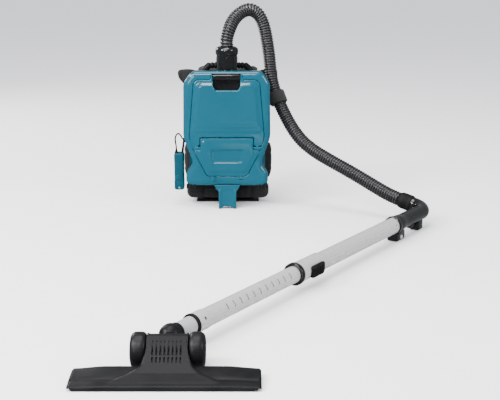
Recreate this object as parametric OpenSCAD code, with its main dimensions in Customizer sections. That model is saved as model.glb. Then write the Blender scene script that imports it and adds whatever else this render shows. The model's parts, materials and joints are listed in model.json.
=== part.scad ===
// Backpack vacuum cleaner: pack with harness, hose, telescopic wand and floor head.
// Millimetres, +Z up, the origin on the floor under the middle of the pack's base foot.
// The pack's front faces -Y. The wand lies level, the floor head stands in front.

/* [Backpack] */
// Half of the shell's greatest width
shell_half = 113; // [108:1:118]
// Height of the shell's top edge
shell_top = 360; // [354:1:364]
// Distance of the front face in front of the origin
front_y = 75; // [74:1:77]
// Clearance round each cover
cover_gap = 1; // [0.8:0.1:1.4]
// Height of the dust cover's hinge axis
dust_hinge_z = 163; // [162:1:164]
// Height of the battery cover's hinge axis
battery_hinge_z = 82; // [81:0.5:82]
// Radius of the hinge pins
pin_r = 2.5; // [2:0.5:2.5]

/* [Hose] */
// Outer diameter of the corrugated hose
hose_d = 35; // [32:1:36]
// Diameter of the remote control's cable
cable_d = 4; // [3:0.5:5]

/* [Wand] */
// Height of the wand's axis
wand_z = 38; // [37:0.5:39]
// Angle of the wand from straight back, in degrees
wand_angle = 34; // [32:1:36]
// Radius of the outer tube
outer_r = 18.8; // [18.6:0.1:19]
// Radius of the inner tube
inner_r = 16.9; // [16.6:0.1:17]
// Wall thickness of both tubes
tube_wall = 1; // [0.8:0.1:1.2]
// Distance between two lock notches
notch_pitch = 21; // [18:1:24]

/* [Floor head] */
// Width of the floor head
head_w = 300; // [280:5:320]
// Radius of the two wheels
wheel_r = 30; // [28:0.5:30]
// Width of one wheel
wheel_w = 27; // [22:1:27]

/* [Hidden] */
$fn = 48;

teal = [0.10, 0.45, 0.53];
dark_teal = [0.07, 0.33, 0.40];
black = [0.05, 0.05, 0.055];
soft_black = [0.09, 0.09, 0.10];
grey = [0.62, 0.63, 0.64];
silver = [0.80, 0.80, 0.79];

// Pack: heights and depths of its parts.
shell_bottom = 62;
frame_back_y = -58;
body_step_y = -22;
rear_top = 326;
rear_y = 52;
chamber_back = 46;
connector_y = -15;
connector_r = 26.7;
collar_r = 29.5;
connector_top = 418.5;
spigot_r = 23.95;
inlet_z = 352;
cover_back_y = -70;
hinge_y = -72;
latch_y = -69;
latch_axis_z = 349;

motor_z = 126;
motor_back_y = 46;
motor_can_r = 46;
shaft_r = 4;
fan_y = 20;
bore_gap = 0.05;

// Harness: centrelines of a strap and its webbing, in Y and Z, and their places in X.
strap_x = 52;
strap_half = 28;
strap_t = 12;
webbing_half = 13;
webbing_t = 2.4;
strap_line = [[65, 317], [74, 338], [90, 350], [108, 347], [123, 326], [132, 292], [135, 252], [132, 215],
    [123, 184], [110, 162], [97, 149], [87, 142]];
webbing_line = [[86, 141], [85, 128], [84, 110], [82, 92], [76, 76], [66, 64], [59.4, 54], [59.4, 40]];
belt_z = [84, 144];
belt_x = 113;

// Remote control: its low corner, size and what sits on its front.
remote_at = [-140, -46, 44];
remote_size = [26, 32, 99];
button_x = -127;
button_r = 6;
power_z = 80;
mode_z = 62;
lamp_z = 51;
lamp_r = 2.5;

// Hose: the centreline from the connector to the handle's cuff.
hose_route = [[0, -15, 419], [0, -15, 435], [6, -8, 460], [17, 6, 484], [35, 18, 502],
    [57, 28, 510], [77, 35, 502], [91, 38, 482], [100, 39, 454], [106, 39, 423],
    [111, 38, 389], [115, 36, 352], [121, 30, 316], [133, 20, 280], [149, 4, 245],
    [170, -16, 208], [196, -38, 176], [230, -60, 151], [269, -84, 131], [307, -106, 113],
    [342, -128, 96], [375, -150, 79], [407, -173, 64], [434, -193, 55]];
// Cable: from the control box up and over to the housing's side.
cable_route = [[-134, -34, 150], [-134, -34, 158], [-135, -35, 166], [-136, -36, 174], [-136, -38, 182],
    [-134, -40, 189], [-130, -42, 194], [-126, -44, 195], [-122, -46, 192], [-119, -47, 187],
    [-117, -48, 184], [-114, -48, 182]];

// Wand: distances along its axis from the elbow's centre.
elbow_at = [-72, -1069, wand_z];
elbow_r = 19.5;
neck_end = 56;
neck_r = 14.2;
seal_end = 62;
flare_end = 98;
flare_r = 18.2;
first_notch = 144;
notch_count = 11;
inner_end = 555;
collar_at = 388;
collar_end = 398;
swage_end = 492;
swage_r = 21;
lock_at = 452;
outer_end = 838;
grip_at = 826;
corner_at = 1013;
bend_radius = 32;
bend_angle = 93;
bend_roll = 194;
pipe_r = 18;
pipe_wall = 2.5;
cuff_r = 20.5;
cuff_from_corner = 70.5;
bend_run = bend_radius * tan(bend_angle / 2);
bend_steps = 10;
wand_dir = [sin(wand_angle), cos(wand_angle), 0];
wand_side = [cos(wand_angle), -sin(wand_angle), 0];
bend_side = cos(bend_roll) * wand_side - sin(bend_roll) * [0, 0, 1];
lock_roll = 4;

// Floor head: the tilt axis is the wheels' axle.
head_x = -72;
axle_y = -1114;
axle_z = 30;
barrel_r = 24.5;
barrel_half = 30;
bridge_r = 28.5;
bridge_inner_r = 25;
wheel_inner = 33.5;
lip_y = -1208;
slot_y = -1186;
slot_depth = 18;
axle_r = 4;
barrel_dy = elbow_at[1] - axle_y;
barrel_dz = elbow_at[2] - axle_z;
barrel_len = sqrt(barrel_dy * barrel_dy + barrel_dz * barrel_dz);
barrel_pitch = atan2(barrel_dz, barrel_dy);
swivel_gap = 0.3;
swivel_face = 14;

// A tube swept along a list of points, with flat ends.
function unit(v) = v / norm(v);
function route_dir(p, i) = i == 0 ? unit(p[1] - p[0])
    : i == len(p) - 1 ? unit(p[i] - p[i - 1]) : unit(p[i + 1] - p[i - 1]);
function carried(v, d) = unit(v - (v * d) * d);
function side_dirs(p, v, i = 0) = i == len(p) ? []
    : let (s = carried(v, route_dir(p, i))) concat([s], side_dirs(p, s, i + 1));
module swept_tube(p, r, sides) {
    s = side_dirs(p, [0.3, 0.9, 0.1]);
    n = len(p);
    rings = [for (i = [0:n - 1]) let (d = route_dir(p, i), a = s[i], b = cross(d, a))
        for (k = [0:sides - 1]) p[i] + r * (cos(360 * k / sides) * a + sin(360 * k / sides) * b)];
    walls = [for (i = [0:n - 2]) for (k = [0:sides - 1]) let (m = (k + 1) % sides)
        [(i + 1) * sides + k, (i + 1) * sides + m, i * sides + m, i * sides + k]];
    polyhedron(rings, concat(
        [[for (k = [0:sides - 1]) k]], walls,
        [[for (k = [0:sides - 1]) n * sides - 1 - k]]));
}

// Turns a drawing in the XY plane to stand in XZ, and pushes it from y0 back to y1.
module standing(y0, y1) {
    translate([0, y1, 0]) rotate([90, 0, 0]) linear_extrude(y1 - y0) children();
}
module mirrored_x() {
    children();
    mirror([1, 0, 0]) children();
}
// A band of constant thickness along points in the YZ plane, pushed along X.
function band_dir(p, i) = unit(p[min(i + 1, len(p) - 1)] - p[max(i - 1, 0)]);
function band_side(p, i, t) = let (d = band_dir(p, i)) p[i] + t * [-d[1], d[0]];
module band(p, t, x0, x1) {
    translate([x0, 0, 0]) rotate([90, 0, 90]) linear_extrude(x1 - x0)
        polygon(concat([for (i = [0:len(p) - 1]) band_side(p, i, t / 2)],
            [for (i = [len(p) - 1:-1:0]) band_side(p, i, -t / 2)]));
}
module rounded_block(size, r) {
    hull() for (x = [r, size[0] - r], y = [r, size[1] - r], z = [r, size[2] - r])
        translate([x, y, z]) sphere(r, $fn = 16);
}
// The wand's own frame: +Z along the tube away from the head, +X to its right, +Y down.
module on_wand(s) {
    translate(elbow_at) rotate([0, 0, -wand_angle]) rotate([-90, 0, 0]) translate([0, 0, s]) children();
}
module ring(r_out, r_in, h) {
    difference() {
        cylinder(r = r_out, h = h);
        translate([0, 0, -1]) cylinder(r = r_in, h = h + 2);
    }
}
module frustum_ring(r0, r1, t, h) {
    difference() {
        cylinder(r1 = r0, r2 = r1, h = h);
        translate([0, 0, -0.01]) cylinder(r1 = r0 - t, r2 = r1 - t, h = h + 0.02);
    }
}

// Outlines of the pack, in X and Z.
module shell_outline(inset) {
    w = shell_half - inset;
    t = shell_top - inset;
    polygon([[-w + 22, t], [w - 22, t], [w - 2, t - 31], [w, 190], [w - 22, 130], [w - 22, 118],
        [w - 6, 95], [w - 6, shell_bottom + inset], [-w + 6, shell_bottom + inset], [-w + 6, 95],
        [-w + 22, 118], [-w + 22, 130], [-w, 190], [-w + 2, t - 31]]);
}
module dust_outline(grow) {
    g = grow;
    polygon([[-42 - g, 339 + g], [-40 - g, 354 + g], [40 + g, 354 + g], [42 + g, 339 + g],
        [76 + g, 339 + g], [85 + g, 330 + g], [97 + g, 192], [91 + g, 168 - g], [70 - g, 168 - g],
        [70 - g, 190 - g], [-70 + g, 190 - g], [-70 + g, 168 - g], [-91 - g, 168 - g],
        [-97 - g, 192], [-85 - g, 330 + g], [-76 - g, 339 + g]]);
}
module battery_outline(grow) {
    g = grow;
    polygon([[-69 - g, 188 + g], [69 + g, 188 + g], [69 + g, 157 + g], [88 + g, 157 + g],
        [62 + g, 108], [55 + g, 93 - g], [47 + g, 87.4 - g], [-47 - g, 87.4 - g], [-55 - g, 93 - g],
        [-62 - g, 108], [-88 - g, 157 + g], [-69 - g, 157 + g]]);
}

module main_housing() color(teal) difference() {
    union() {
        standing(frame_back_y, body_step_y) shell_outline(1);
        hull() {
            translate([-100, body_step_y - 1, shell_bottom + 2]) cube([200, 1, inlet_z - shell_bottom - 2]);
            translate([-90, 12, shell_bottom + 2]) cube([180, 2, inlet_z - shell_bottom - 4]);
        }
        hull() {
            translate([-90, 12, shell_bottom + 2]) cube([180, 1, rear_top - shell_bottom]);
            translate([-82, rear_y - 1, shell_bottom + 8]) cube([164, 1, rear_top - shell_bottom - 20]);
        }
    }
    // Dust chamber, with its wider front.
    translate([-79, -80, 196]) cube([158, 80 + chamber_back, 116]);
    translate([-79, -80, 196]) cube([158, 88, 126]);
    translate([-106, -80, 196]) cube([212, 55, 126]);
    // Battery bay in front of the motor room.
    translate([-87, -80, 66]) cube([174, 76, 122]);
    translate([-78, -1, 72]) cube([156, 1 + chamber_back, 114]);
    translate([-20, 30, 180]) cube([40, 14, 30]);
    // Hollows in the roof beside the hose inlet.
    mirrored_x() translate([34, -54, 328]) cube([52, 62, 19]);
    // Bore for the swivelling hose connector, and its seat.
    translate([0, connector_y, 310]) cylinder(r = spigot_r + 0.05, h = 60);
    translate([0, connector_y, inlet_z]) cylinder(r = connector_r + 0.5, h = 20);
}
module front_frame() color(teal) difference() {
    union() {
        hull() {
            standing(frame_back_y - 2, frame_back_y) shell_outline(0);
            standing(-66, -64) shell_outline(2);
        }
        hull() {
            standing(-66, -64) shell_outline(2);
            standing(-front_y, -front_y + 1) shell_outline(11);
        }
        mirrored_x() translate([82, -73, 54]) cube([25, 14, 12]);
    }
    standing(-90, -40) dust_outline(cover_gap);
    standing(-90, -40) battery_outline(cover_gap);
    // Slots for the two pairs of hinges.
    mirrored_x() translate([69, -90, dust_hinge_z - 7]) cube([23, 32, 16]);
    mirrored_x() translate([24, -90, battery_hinge_z - 6]) cube([22, 32, 13]);
    translate([0, connector_y, inlet_z]) cylinder(r = connector_r + 0.5, h = 20);
}
module dust_cover_pins() color(grey) mirrored_x()
    translate([73, hinge_y, dust_hinge_z]) rotate([0, 90, 0]) cylinder(r = pin_r, h = 17.5);
module battery_cover_pins() color(grey) mirrored_x()
    translate([22, hinge_y, battery_hinge_z]) rotate([0, 90, 0]) cylinder(r = pin_r, h = 26);
// A lug round a hinge pin, reaching up to a cover.
module hinge_lug(x0, x1, z, up) {
    difference() {
        union() {
            translate([x0, hinge_y, z]) rotate([0, 90, 0]) cylinder(r = 4, h = x1 - x0);
            translate([x0, hinge_y - 4, z]) cube([x1 - x0, 6, up]);
        }
        translate([x0 - 1, hinge_y, z]) rotate([0, 90, 0]) cylinder(r = pin_r + 0.05, h = x1 - x0 + 2);
    }
}
module dust_cover() color(teal) difference() {
    union() {
        standing(-front_y, cover_back_y) dust_outline(0);
        hull() {
            standing(-front_y - 2, -front_y - 1) translate([-74, 226]) square([148, 96]);
            standing(-front_y, -front_y + 1) translate([-80, 220]) square([160, 108]);
        }
        translate([-40, cover_back_y - 3, 308]) cube([80, 12, 44]);
        mirrored_x() hinge_lug(75, 82, dust_hinge_z, 8);
    }
    // Finger recess, with the latch's pivot holes in its sides.
    translate([-36, -90, 312]) cube([72, 26, 60]);
    translate([-45, latch_y, latch_axis_z]) rotate([0, 90, 0]) cylinder(r = 2.05, h = 90);
}
module cover_gasket() color(black) standing(cover_back_y, cover_back_y + 2.7) difference() {
    translate([-77, 200]) square([154, 104]);
    translate([-73, 204]) square([146, 96]);
}
module cover_latch() color(black) {
    translate([-35.5, -front_y, 338]) cube([71, 9, 14.5]);
    mirrored_x() translate([35, latch_y, latch_axis_z]) rotate([0, 90, 0]) cylinder(r = 2, h = 4);
}
module battery_cover() color(teal) {
    difference() {
        standing(-front_y, cover_back_y) battery_outline(0);
        hull() {
            standing(-front_y - 1, -front_y) polygon([[-44, 156], [44, 156], [38, 124], [-38, 124]]);
            standing(-front_y + 1.8, -front_y + 2) polygon([[-39, 151], [39, 151], [33, 128], [-33, 128]]);
        }
    }
    mirrored_x() hinge_lug(32, 40, battery_hinge_z, 8);
}
module battery_pack(x) {
    translate([x, -57, 70]) rounded_block([73, 49, 108], 5);
}
module battery_left() color(soft_black) battery_pack(-75);
module battery_right() color(soft_black) battery_pack(2);
module battery_terminals() color([0.75, 0.6, 0.3]) for (x = [-52, -32, 25, 45])
    translate([x, -7.5, 150]) cube([6, 3, 20]);

module motor_housing() color(black) translate([0, motor_back_y, motor_z]) rotate([90, 0, 0]) difference() {
    cylinder(r = motor_can_r, h = 46);
    translate([0, 0, 3]) cylinder(r = motor_can_r - 3, h = 40);
    translate([0, 0, 40]) cylinder(r = 16, h = 10);
}
module motor() color(grey) translate([0, motor_back_y - 3.2, motor_z]) rotate([90, 0, 0]) {
    cylinder(r = 27, h = 20);
    cylinder(r = shaft_r, h = 36);
}
module fan() color(silver) translate([0, fan_y, motor_z]) rotate([90, 0, 0]) difference() {
    union() {
        cylinder(r = 38, h = 1.5);
        cylinder(r = 9, h = 10);
        for (a = [0:45:315]) rotate([0, 0, a]) translate([8, -0.8, 0]) cube([29, 1.6, 9]);
    }
    translate([0, 0, -1]) cylinder(r = shaft_r + bore_gap, h = 14);
}
module motor_screws() color(grey) for (x = [-28, 28], z = [-28, 28])
    translate([x, rear_y - 2, motor_z + z]) rotate([90, 0, 0]) cylinder(r = 2, h = 7);
module pre_filter() color([0.9, 0.9, 0.88]) translate([-50, 28, 212]) cube([100, 10, 90]);
module dust_bag() color([0.75, 0.70, 0.60]) translate([-76, -64, 202]) rounded_block([152, 84, 104], 14);
module bag_collar() color([0.85, 0.85, 0.80]) translate([0, connector_y, 307]) ring(32, 22, 3);
module circuit_board() color([0.1, 0.35, 0.15]) translate([-72, 4, 80]) cube([14, 40, 90]);

module hose_connector() color(black) translate([0, connector_y, 0]) difference() {
    union() {
        translate([0, 0, 312]) cylinder(r = spigot_r, h = 42);
        translate([0, 0, inlet_z + 0.5]) cylinder(r = connector_r, h = 399 - inlet_z);
        translate([0, 0, 397]) cylinder(r1 = connector_r, r2 = collar_r, h = 3);
        translate([0, 0, 400]) cylinder(r = collar_r, h = 11);
        translate([0, 0, 411]) cylinder(r1 = collar_r, r2 = 24, h = connector_top - 411);
    }
    translate([0, 0, 311]) cylinder(r = 16, h = 120);
}
// Carry handle: an arch with a gap for the hand.
module carry_handle() color(black) {
    hull() for (x = [-44, 44]) translate([x, 32, 365]) sphere(8.6, $fn = 24);
    mirrored_x() {
        hull() {
            translate([44, 32, 365]) sphere(8.6, $fn = 24);
            translate([62, 32, 352]) sphere(8.6, $fn = 24);
        }
        hull() {
            translate([62, 32, 352]) sphere(8.6, $fn = 24);
            translate([53, 24, rear_top - 8]) cube([18, 16, 4]);
        }
    }
}
// Folding-down tongue on which the pack's front stands, a channel with two ribs.
module bottom_hook() color(teal) {
    standing(-front_y, -front_y + 4) polygon([[-33, 62], [34, 62], [23, 46], [23, 3], [12, 3],
        [10, 7], [-10, 7], [-12, 3], [-21, 3], [-21, 46]]);
    for (x = [-22, 18]) translate([x, -front_y - 1, 0]) cube([6, 12, 50]);
    translate([-30, -front_y + 3.9, 50]) cube([60, 16, 12]);
}
module harness_frame() color(black) {
    translate([-84, 8, 0]) cube([168, 50, 4.6]);
    translate([-17, -14, 0]) cube([34, 24, 4.6]);
    translate([-70, rear_y + 0.2, 0]) cube([140, 6, 300]);
    translate([-16, -14, 4]) cube([32, 8, 60]);
}
module back_pad() color(soft_black) translate([-78, 58.6, 86]) rounded_block([156, 22, 224], 8);
module lumbar_pad() color(soft_black) standing(0.2, 50) translate([-108, 4.9]) {
    translate([14, 0]) square([188, 52]);
    translate([0, 14]) square([216, 24]);
    for (x = [14, 202], z = [14, 38]) translate([x, z]) circle(14);
}
module shoulder_strap(x) {
    band(strap_line, strap_t, x - strap_half, x + strap_half);
}
module shoulder_strap_left() color(soft_black) shoulder_strap(-strap_x);
module shoulder_strap_right() color(soft_black) shoulder_strap(strap_x);
module strap_webbing() color(black) for (x = [-strap_x, strap_x])
    band(webbing_line, webbing_t, x - webbing_half, x + webbing_half);
// Two-bar buckles that the webbing threads.
module strap_adjusters() color(black) for (x = [-strap_x, strap_x])
    translate([x, 84.2, 112]) difference() {
        translate([-18, -3, -12]) cube([36, 7, 24]);
        translate([-13.2, -4, -8]) cube([26.4, 9, 6]);
        translate([-13.2, -4, 2]) cube([26.4, 9, 6]);
    }
module waist_belt(side) mirror([side < 0 ? 1 : 0, 0, 0]) {
    hull() {
        translate([70.3, 53.5, 60]) cube([6, 5, 98]);
        translate([belt_x, 57, 62]) cylinder(r = 7, h = 94);
    }
    hull() {
        translate([belt_x, 57, 62]) cylinder(r = 7, h = 94);
        translate([98, 98, belt_z[0]]) cylinder(r = 6, h = belt_z[1] - belt_z[0]);
    }
}
module waist_belt_left() color(soft_black) waist_belt(-1);
module waist_belt_right() color(soft_black) waist_belt(1);
module belt_buckle() color(black) {
    translate([-93, 97, 98]) cube([186, 2.4, 32]);
    translate([-22, 93, 94]) rounded_block([44, 12, 40], 4);
}
// Sleeve that holds the hose at the shoulder, with its strap.
module hose_holder() color(black) {
    translate([133, 20, 280]) rotate([0, 28, 137]) translate([0, 0, -16]) ring(23, 19.6, 32);
    hull() {
        translate([110, 33, 264]) cube([5, 8, 16]);
        translate([82, 44, 266]) cube([3, 8, 22]);
    }
}
module control_box() color(dark_teal) difference() {
    translate(remote_at) rounded_block(remote_size, 4);
    for (z = [mode_z, power_z])
        translate([button_x, remote_at[1] + 8, z]) rotate([90, 0, 0]) cylinder(r = button_r + bore_gap, h = 10);
    translate([button_x, remote_at[1] + 2, lamp_z]) rotate([90, 0, 0]) cylinder(r = lamp_r, h = 4);
}
module control_hanger() color(black) {
    hull() {
        translate([-121, -36, 142.97]) cube([6, 12, 2]);
        translate([-116, -34, 170]) cube([4, 10, 8]);
    }
    hull() {
        translate([-116, -34, 170]) cube([4, 10, 8]);
        translate([-107, -33, 171]) cube([1.5, 8, 7]);
    }
}
module button(z) {
    translate([button_x, remote_at[1] + 5, z]) rotate([90, 0, 0]) cylinder(r = button_r, h = 7);
}
module power_button() color(dark_teal) button(power_z);
module mode_button() color(dark_teal) button(mode_z);
module control_led() color([0.8, 0.9, 0.8]) translate([button_x, remote_at[1] + 2, lamp_z])
    rotate([90, 0, 0]) cylinder(r = lamp_r, h = 2.6);
module control_cable() color(black) swept_tube(cable_route, cable_d / 2, 8);
module cable_reliefs() color(black) {
    translate([-134, -34, 142.97]) cylinder(r1 = 4.5, r2 = 2.6, h = 7.15);
    translate([-108, -48, 182]) rotate([0, -90, 0]) cylinder(r1 = 4.5, r2 = 2.8, h = 6);
}
module housing_screws() color(grey) for (x = [-76, 76], z = [86, 300])
    translate([x, rear_y + 0.4, z]) rotate([90, 0, 0]) cylinder(r = 3.5, h = 6);

module hose() color(black) swept_tube(hose_route, hose_d / 2, 12);
// From the corner of the handle's bend, +Z runs out along the hose cuff.
module after_bend() {
    on_wand(corner_at - bend_run) rotate([0, 0, bend_roll])
        translate([bend_radius * (1 - cos(bend_angle)), 0, bend_radius * sin(bend_angle)])
            rotate([0, bend_angle, 0]) children();
}
module hose_cuff() color(black) after_bend() translate([0, 0, 4.5])
    ring(cuff_r, 16, cuff_from_corner - bend_run - 4.5);
// The handle's centreline: straight on from the wand, then round the bend.
function wand_point(s) = elbow_at + s * wand_dir;
function handle_route(over) = let (bend_start = wand_point(corner_at - bend_run),
        arc = [for (i = [0:bend_steps]) let (t = bend_angle * i / bend_steps)
            bend_start + bend_radius * (sin(t) * wand_dir + (1 - cos(t)) * bend_side)],
        out = unit(sin(bend_angle) * bend_side + cos(bend_angle) * wand_dir))
    concat([wand_point(outer_end + 12)], arc, [arc[bend_steps] + (4.5 + over) * out]);
module handle_core(r, r_end, over) {
    on_wand(outer_end + 0.2 - over) cylinder(r = r_end, h = 14 + over);
    swept_tube(handle_route(over), r, 24);
}
module handle_pipe() color(black) difference() {
    union() {
        handle_core(pipe_r, pipe_r + 2, 0);
        on_wand(944) translate([-13, 0, 0]) cube([26, wand_z, 28]);
    }
    handle_core(pipe_r - pipe_wall, pipe_r - pipe_wall + 1, 1);
}
module grip_block() color(black) difference() {
    union() {
        on_wand(grip_at) cylinder(r = outer_r + 3.2, h = 12);
        on_wand(grip_at) translate([-14, 0, 0]) cube([28, wand_z, 44]);
    }
    on_wand(grip_at - 1) cylinder(r = outer_r + 0.05, h = 14);
    on_wand(outer_end + 0.1) cylinder(r = pipe_r + 2.2, h = 14.2);
    on_wand(outer_end + 10) cylinder(r = pipe_r + 0.2, h = 40);
    on_wand(grip_at + 22) translate([-20, 29, 0]) rotate([0, 90, 0]) cylinder(r = 5.05, h = 60);
}
module release_button() color(grey) on_wand(grip_at + 22) translate([6, 29, 0])
    rotate([0, 90, 0]) cylinder(r = 5, h = 10);
module outer_tube() color(silver) {
    on_wand(swage_end - 0.1) ring(outer_r, outer_r - tube_wall, outer_end - swage_end + 0.1);
    on_wand(swage_end - 8) frustum_ring(swage_r, outer_r, tube_wall, 8);
    difference() {
        on_wand(collar_end) ring(swage_r, inner_r + 0.6, swage_end - collar_end - 8);
        on_wand(lock_at) rotate([0, 0, lock_roll]) translate([10, -9, -30]) cube([20, 18, 52]);
    }
}
module tube_collar() color(black) on_wand(collar_at)
    ring(swage_r + 2.2, inner_r + 0.05, collar_end - collar_at);
module lock_slider() color(soft_black) on_wand(lock_at - 4) rotate([0, 0, lock_roll]) difference() {
    union() {
        translate([16, -8.6, -18]) cube([7, 17.2, 31]);
        translate([22, -13, -24]) cube([6, 26, 48]);
    }
    translate([0, 0, -40]) cylinder(r = inner_r + 0.4, h = 80);
    translate([0, 0, -40]) difference() {
        cylinder(r = swage_r + 0.3, h = 90);
        translate([10, -8.7, -1]) cube([20, 17.4, 92]);
    }
}
module inner_tube() color(silver) {
    difference() {
        on_wand(flare_end - 0.1) ring(inner_r, inner_r - tube_wall, inner_end - flare_end);
        for (i = [0:notch_count - 1])
            on_wand(first_notch + i * notch_pitch) rotate([0, 0, lock_roll - 38])
                translate([inner_r - 0.6, -5, 0]) cube([4, 10, 3]);
    }
    on_wand(flare_end - 6) frustum_ring(flare_r, inner_r, tube_wall, 6);
    difference() {
        on_wand(seal_end) ring(flare_r, neck_r + 1.2, flare_end - 6 - seal_end);
        on_wand(78) rotate([0, 0, 20]) translate([10, 0, 0]) rotate([0, 90, 0]) cylinder(r = 3, h = 20);
    }
}
module seal_ring() color(black) on_wand(neck_end) ring(flare_r + 1.2, neck_r + 0.05, seal_end - neck_end);
module neck_pipe() color(grey) on_wand(16) ring(neck_r, neck_r - 2.5, flare_end - 26);
// The barrel's frame: +Z from the tilt axis towards the elbow's centre.
module on_barrel() {
    translate([head_x, axle_y, axle_z]) rotate([barrel_pitch - 90, 0, 0]) children();
}
module elbow() color(black) difference() {
    union() {
        on_barrel() translate([0, 0, barrel_len]) rotate_extrude() intersection() {
            circle(elbow_r);
            translate([0, -swivel_face]) square([40, 60]);
        }
        on_wand(2) cylinder(r = neck_r + 2.6, h = 18);
        on_barrel() translate([0, 0, barrel_len - swivel_face - 6]) cylinder(r = 12, h = 12);
    }
    on_wand(15.8) cylinder(r = neck_r + 0.05, h = 20);
    on_wand(0) cylinder(r = 9, h = 20);
    on_barrel() translate([0, 0, barrel_len - 30]) cylinder(r = 8.9, h = 31);
}
module swivel_barrel() color(black) difference() {
    union() {
        translate([head_x - barrel_half, axle_y, axle_z]) rotate([0, 90, 0])
            cylinder(r = barrel_r, h = 2 * barrel_half);
        on_barrel() cylinder(r = 15, h = barrel_len - swivel_face - swivel_gap);
    }
    on_barrel() translate([0, 0, 10]) cylinder(r = 12.05, h = 40);
    on_barrel() translate([0, 0, -30]) cylinder(r = 9, h = 45);
    translate([head_x - 50, axle_y, axle_z]) rotate([0, 90, 0]) cylinder(r = axle_r + 0.05, h = 100);
}
// One wing's section in Y and Z, from the lip to the back.
module wing_section() polygon([[lip_y, 0], [lip_y, 8], [lip_y + 6, 10], [-1176, 15], [-1162, 18],
    [-1148, 18], [-1145, 14], [-1145, 3], [-1149, 3], [-1149, 13.5], [-1176, 10.5], [lip_y + 8, 6],
    [lip_y + 6, 0]]);
module head_cover() color(black) difference() {
    union() {
        translate([head_x - head_w / 2, 0, 0]) rotate([90, 0, 90]) linear_extrude(head_w) wing_section();
        mirrored_about(head_x) translate([head_x + head_w / 2 - 3, lip_y + 3, 3]) cube([3, 60, 8]);
        difference() {
            union() {
                translate([head_x - 33, axle_y, axle_z]) rotate([0, 90, 0]) cylinder(r = bridge_r, h = 66);
                hull() {
                    translate([head_x - 33, axle_y - bridge_r + 1, 26]) cube([66, 4, 28]);
                    translate([head_x - 52, -1160, 10.5]) cube([104, 3, 7.5]);
                    translate([head_x - 48, -1175, 9.5]) cube([96, 2, 5.5]);
                }
            }
            translate([head_x - 30.4, axle_y, axle_z]) rotate([0, 90, 0])
                cylinder(r = bridge_inner_r, h = 60.8);
            translate([head_x - 30.4, axle_y, -2]) cube([60.8, 60, 80]);
            translate([head_x - 30.4, axle_y - 60, -3]) cube([60.8, 70, 13]);
        }
    }
    mirrored_about(head_x) translate([head_x + wheel_inner - 0.4, axle_y, axle_z])
        rotate([0, 90, 0]) cylinder(r = wheel_r + 1.2, h = wheel_w + 2);
    translate([head_x - 60, axle_y, axle_z]) rotate([0, 90, 0]) cylinder(r = axle_r + 0.05, h = 120);
    for (i = [-3.5:1:3.5]) translate([head_x + i * 6 - 1.2, axle_y - 60, 34])
        cube([2.4, 29, 18]);
}
module mirrored_about(x) {
    children();
    translate([2 * x, 0, 0]) mirror([1, 0, 0]) children();
}
module sole_plate() color(grey) difference() {
    translate([head_x - head_w / 2 + 6, lip_y + 9, 1.4]) cube([head_w - 12, 49.5, 2.6]);
    translate([head_x - head_w / 2 + 20, slot_y, 0]) cube([head_w - 40, slot_depth, 10]);
}
module brush_strips() color(soft_black) for (y = [-1197, -1164])
    translate([head_x - head_w / 2 + 14, y, 0.6]) cube([head_w - 28, 7, 0.8]);
module wheel(x) {
    translate([x, axle_y, axle_z]) rotate([0, 90, 0]) difference() {
        hull() {
            cylinder(r = wheel_r - 3, h = wheel_w);
            translate([0, 0, 4]) cylinder(r = wheel_r, h = wheel_w - 8);
        }
        translate([0, 0, -1]) cylinder(r = axle_r + 0.05, h = wheel_w + 2);
    }
}
module wheel_left() color(black) wheel(head_x - wheel_inner - wheel_w);
module wheel_right() color(black) wheel(head_x + wheel_inner);
module wheel_axle() color(grey) translate([head_x - wheel_inner - wheel_w + 2, axle_y, axle_z])
    rotate([0, 90, 0]) cylinder(r = axle_r, h = 2 * (wheel_inner + wheel_w) - 4);

main_housing();
front_frame();
dust_cover();
dust_cover_pins();
cover_gasket();
cover_latch();
battery_cover();
battery_cover_pins();
battery_left();
battery_right();
battery_terminals();
motor_housing();
motor();
fan();
motor_screws();
pre_filter();
dust_bag();
bag_collar();
circuit_board();
hose_connector();
carry_handle();
bottom_hook();
harness_frame();
back_pad();
lumbar_pad();
shoulder_strap_left();
shoulder_strap_right();
strap_webbing();
strap_adjusters();
waist_belt_left();
waist_belt_right();
belt_buckle();
hose_holder();
control_box();
control_hanger();
power_button();
mode_button();
control_led();
control_cable();
cable_reliefs();
housing_screws();
hose();
hose_cuff();
handle_pipe();
grip_block();
release_button();
outer_tube();
tube_collar();
lock_slider();
inner_tube();
seal_ring();
neck_pipe();
elbow();
swivel_barrel();
head_cover();
sole_plate();
brush_strips();
wheel_left();
wheel_right();
wheel_axle();
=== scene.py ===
from math import acos, asin, atan2, cos, exp, pi, radians, sin, sqrt, tan

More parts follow.
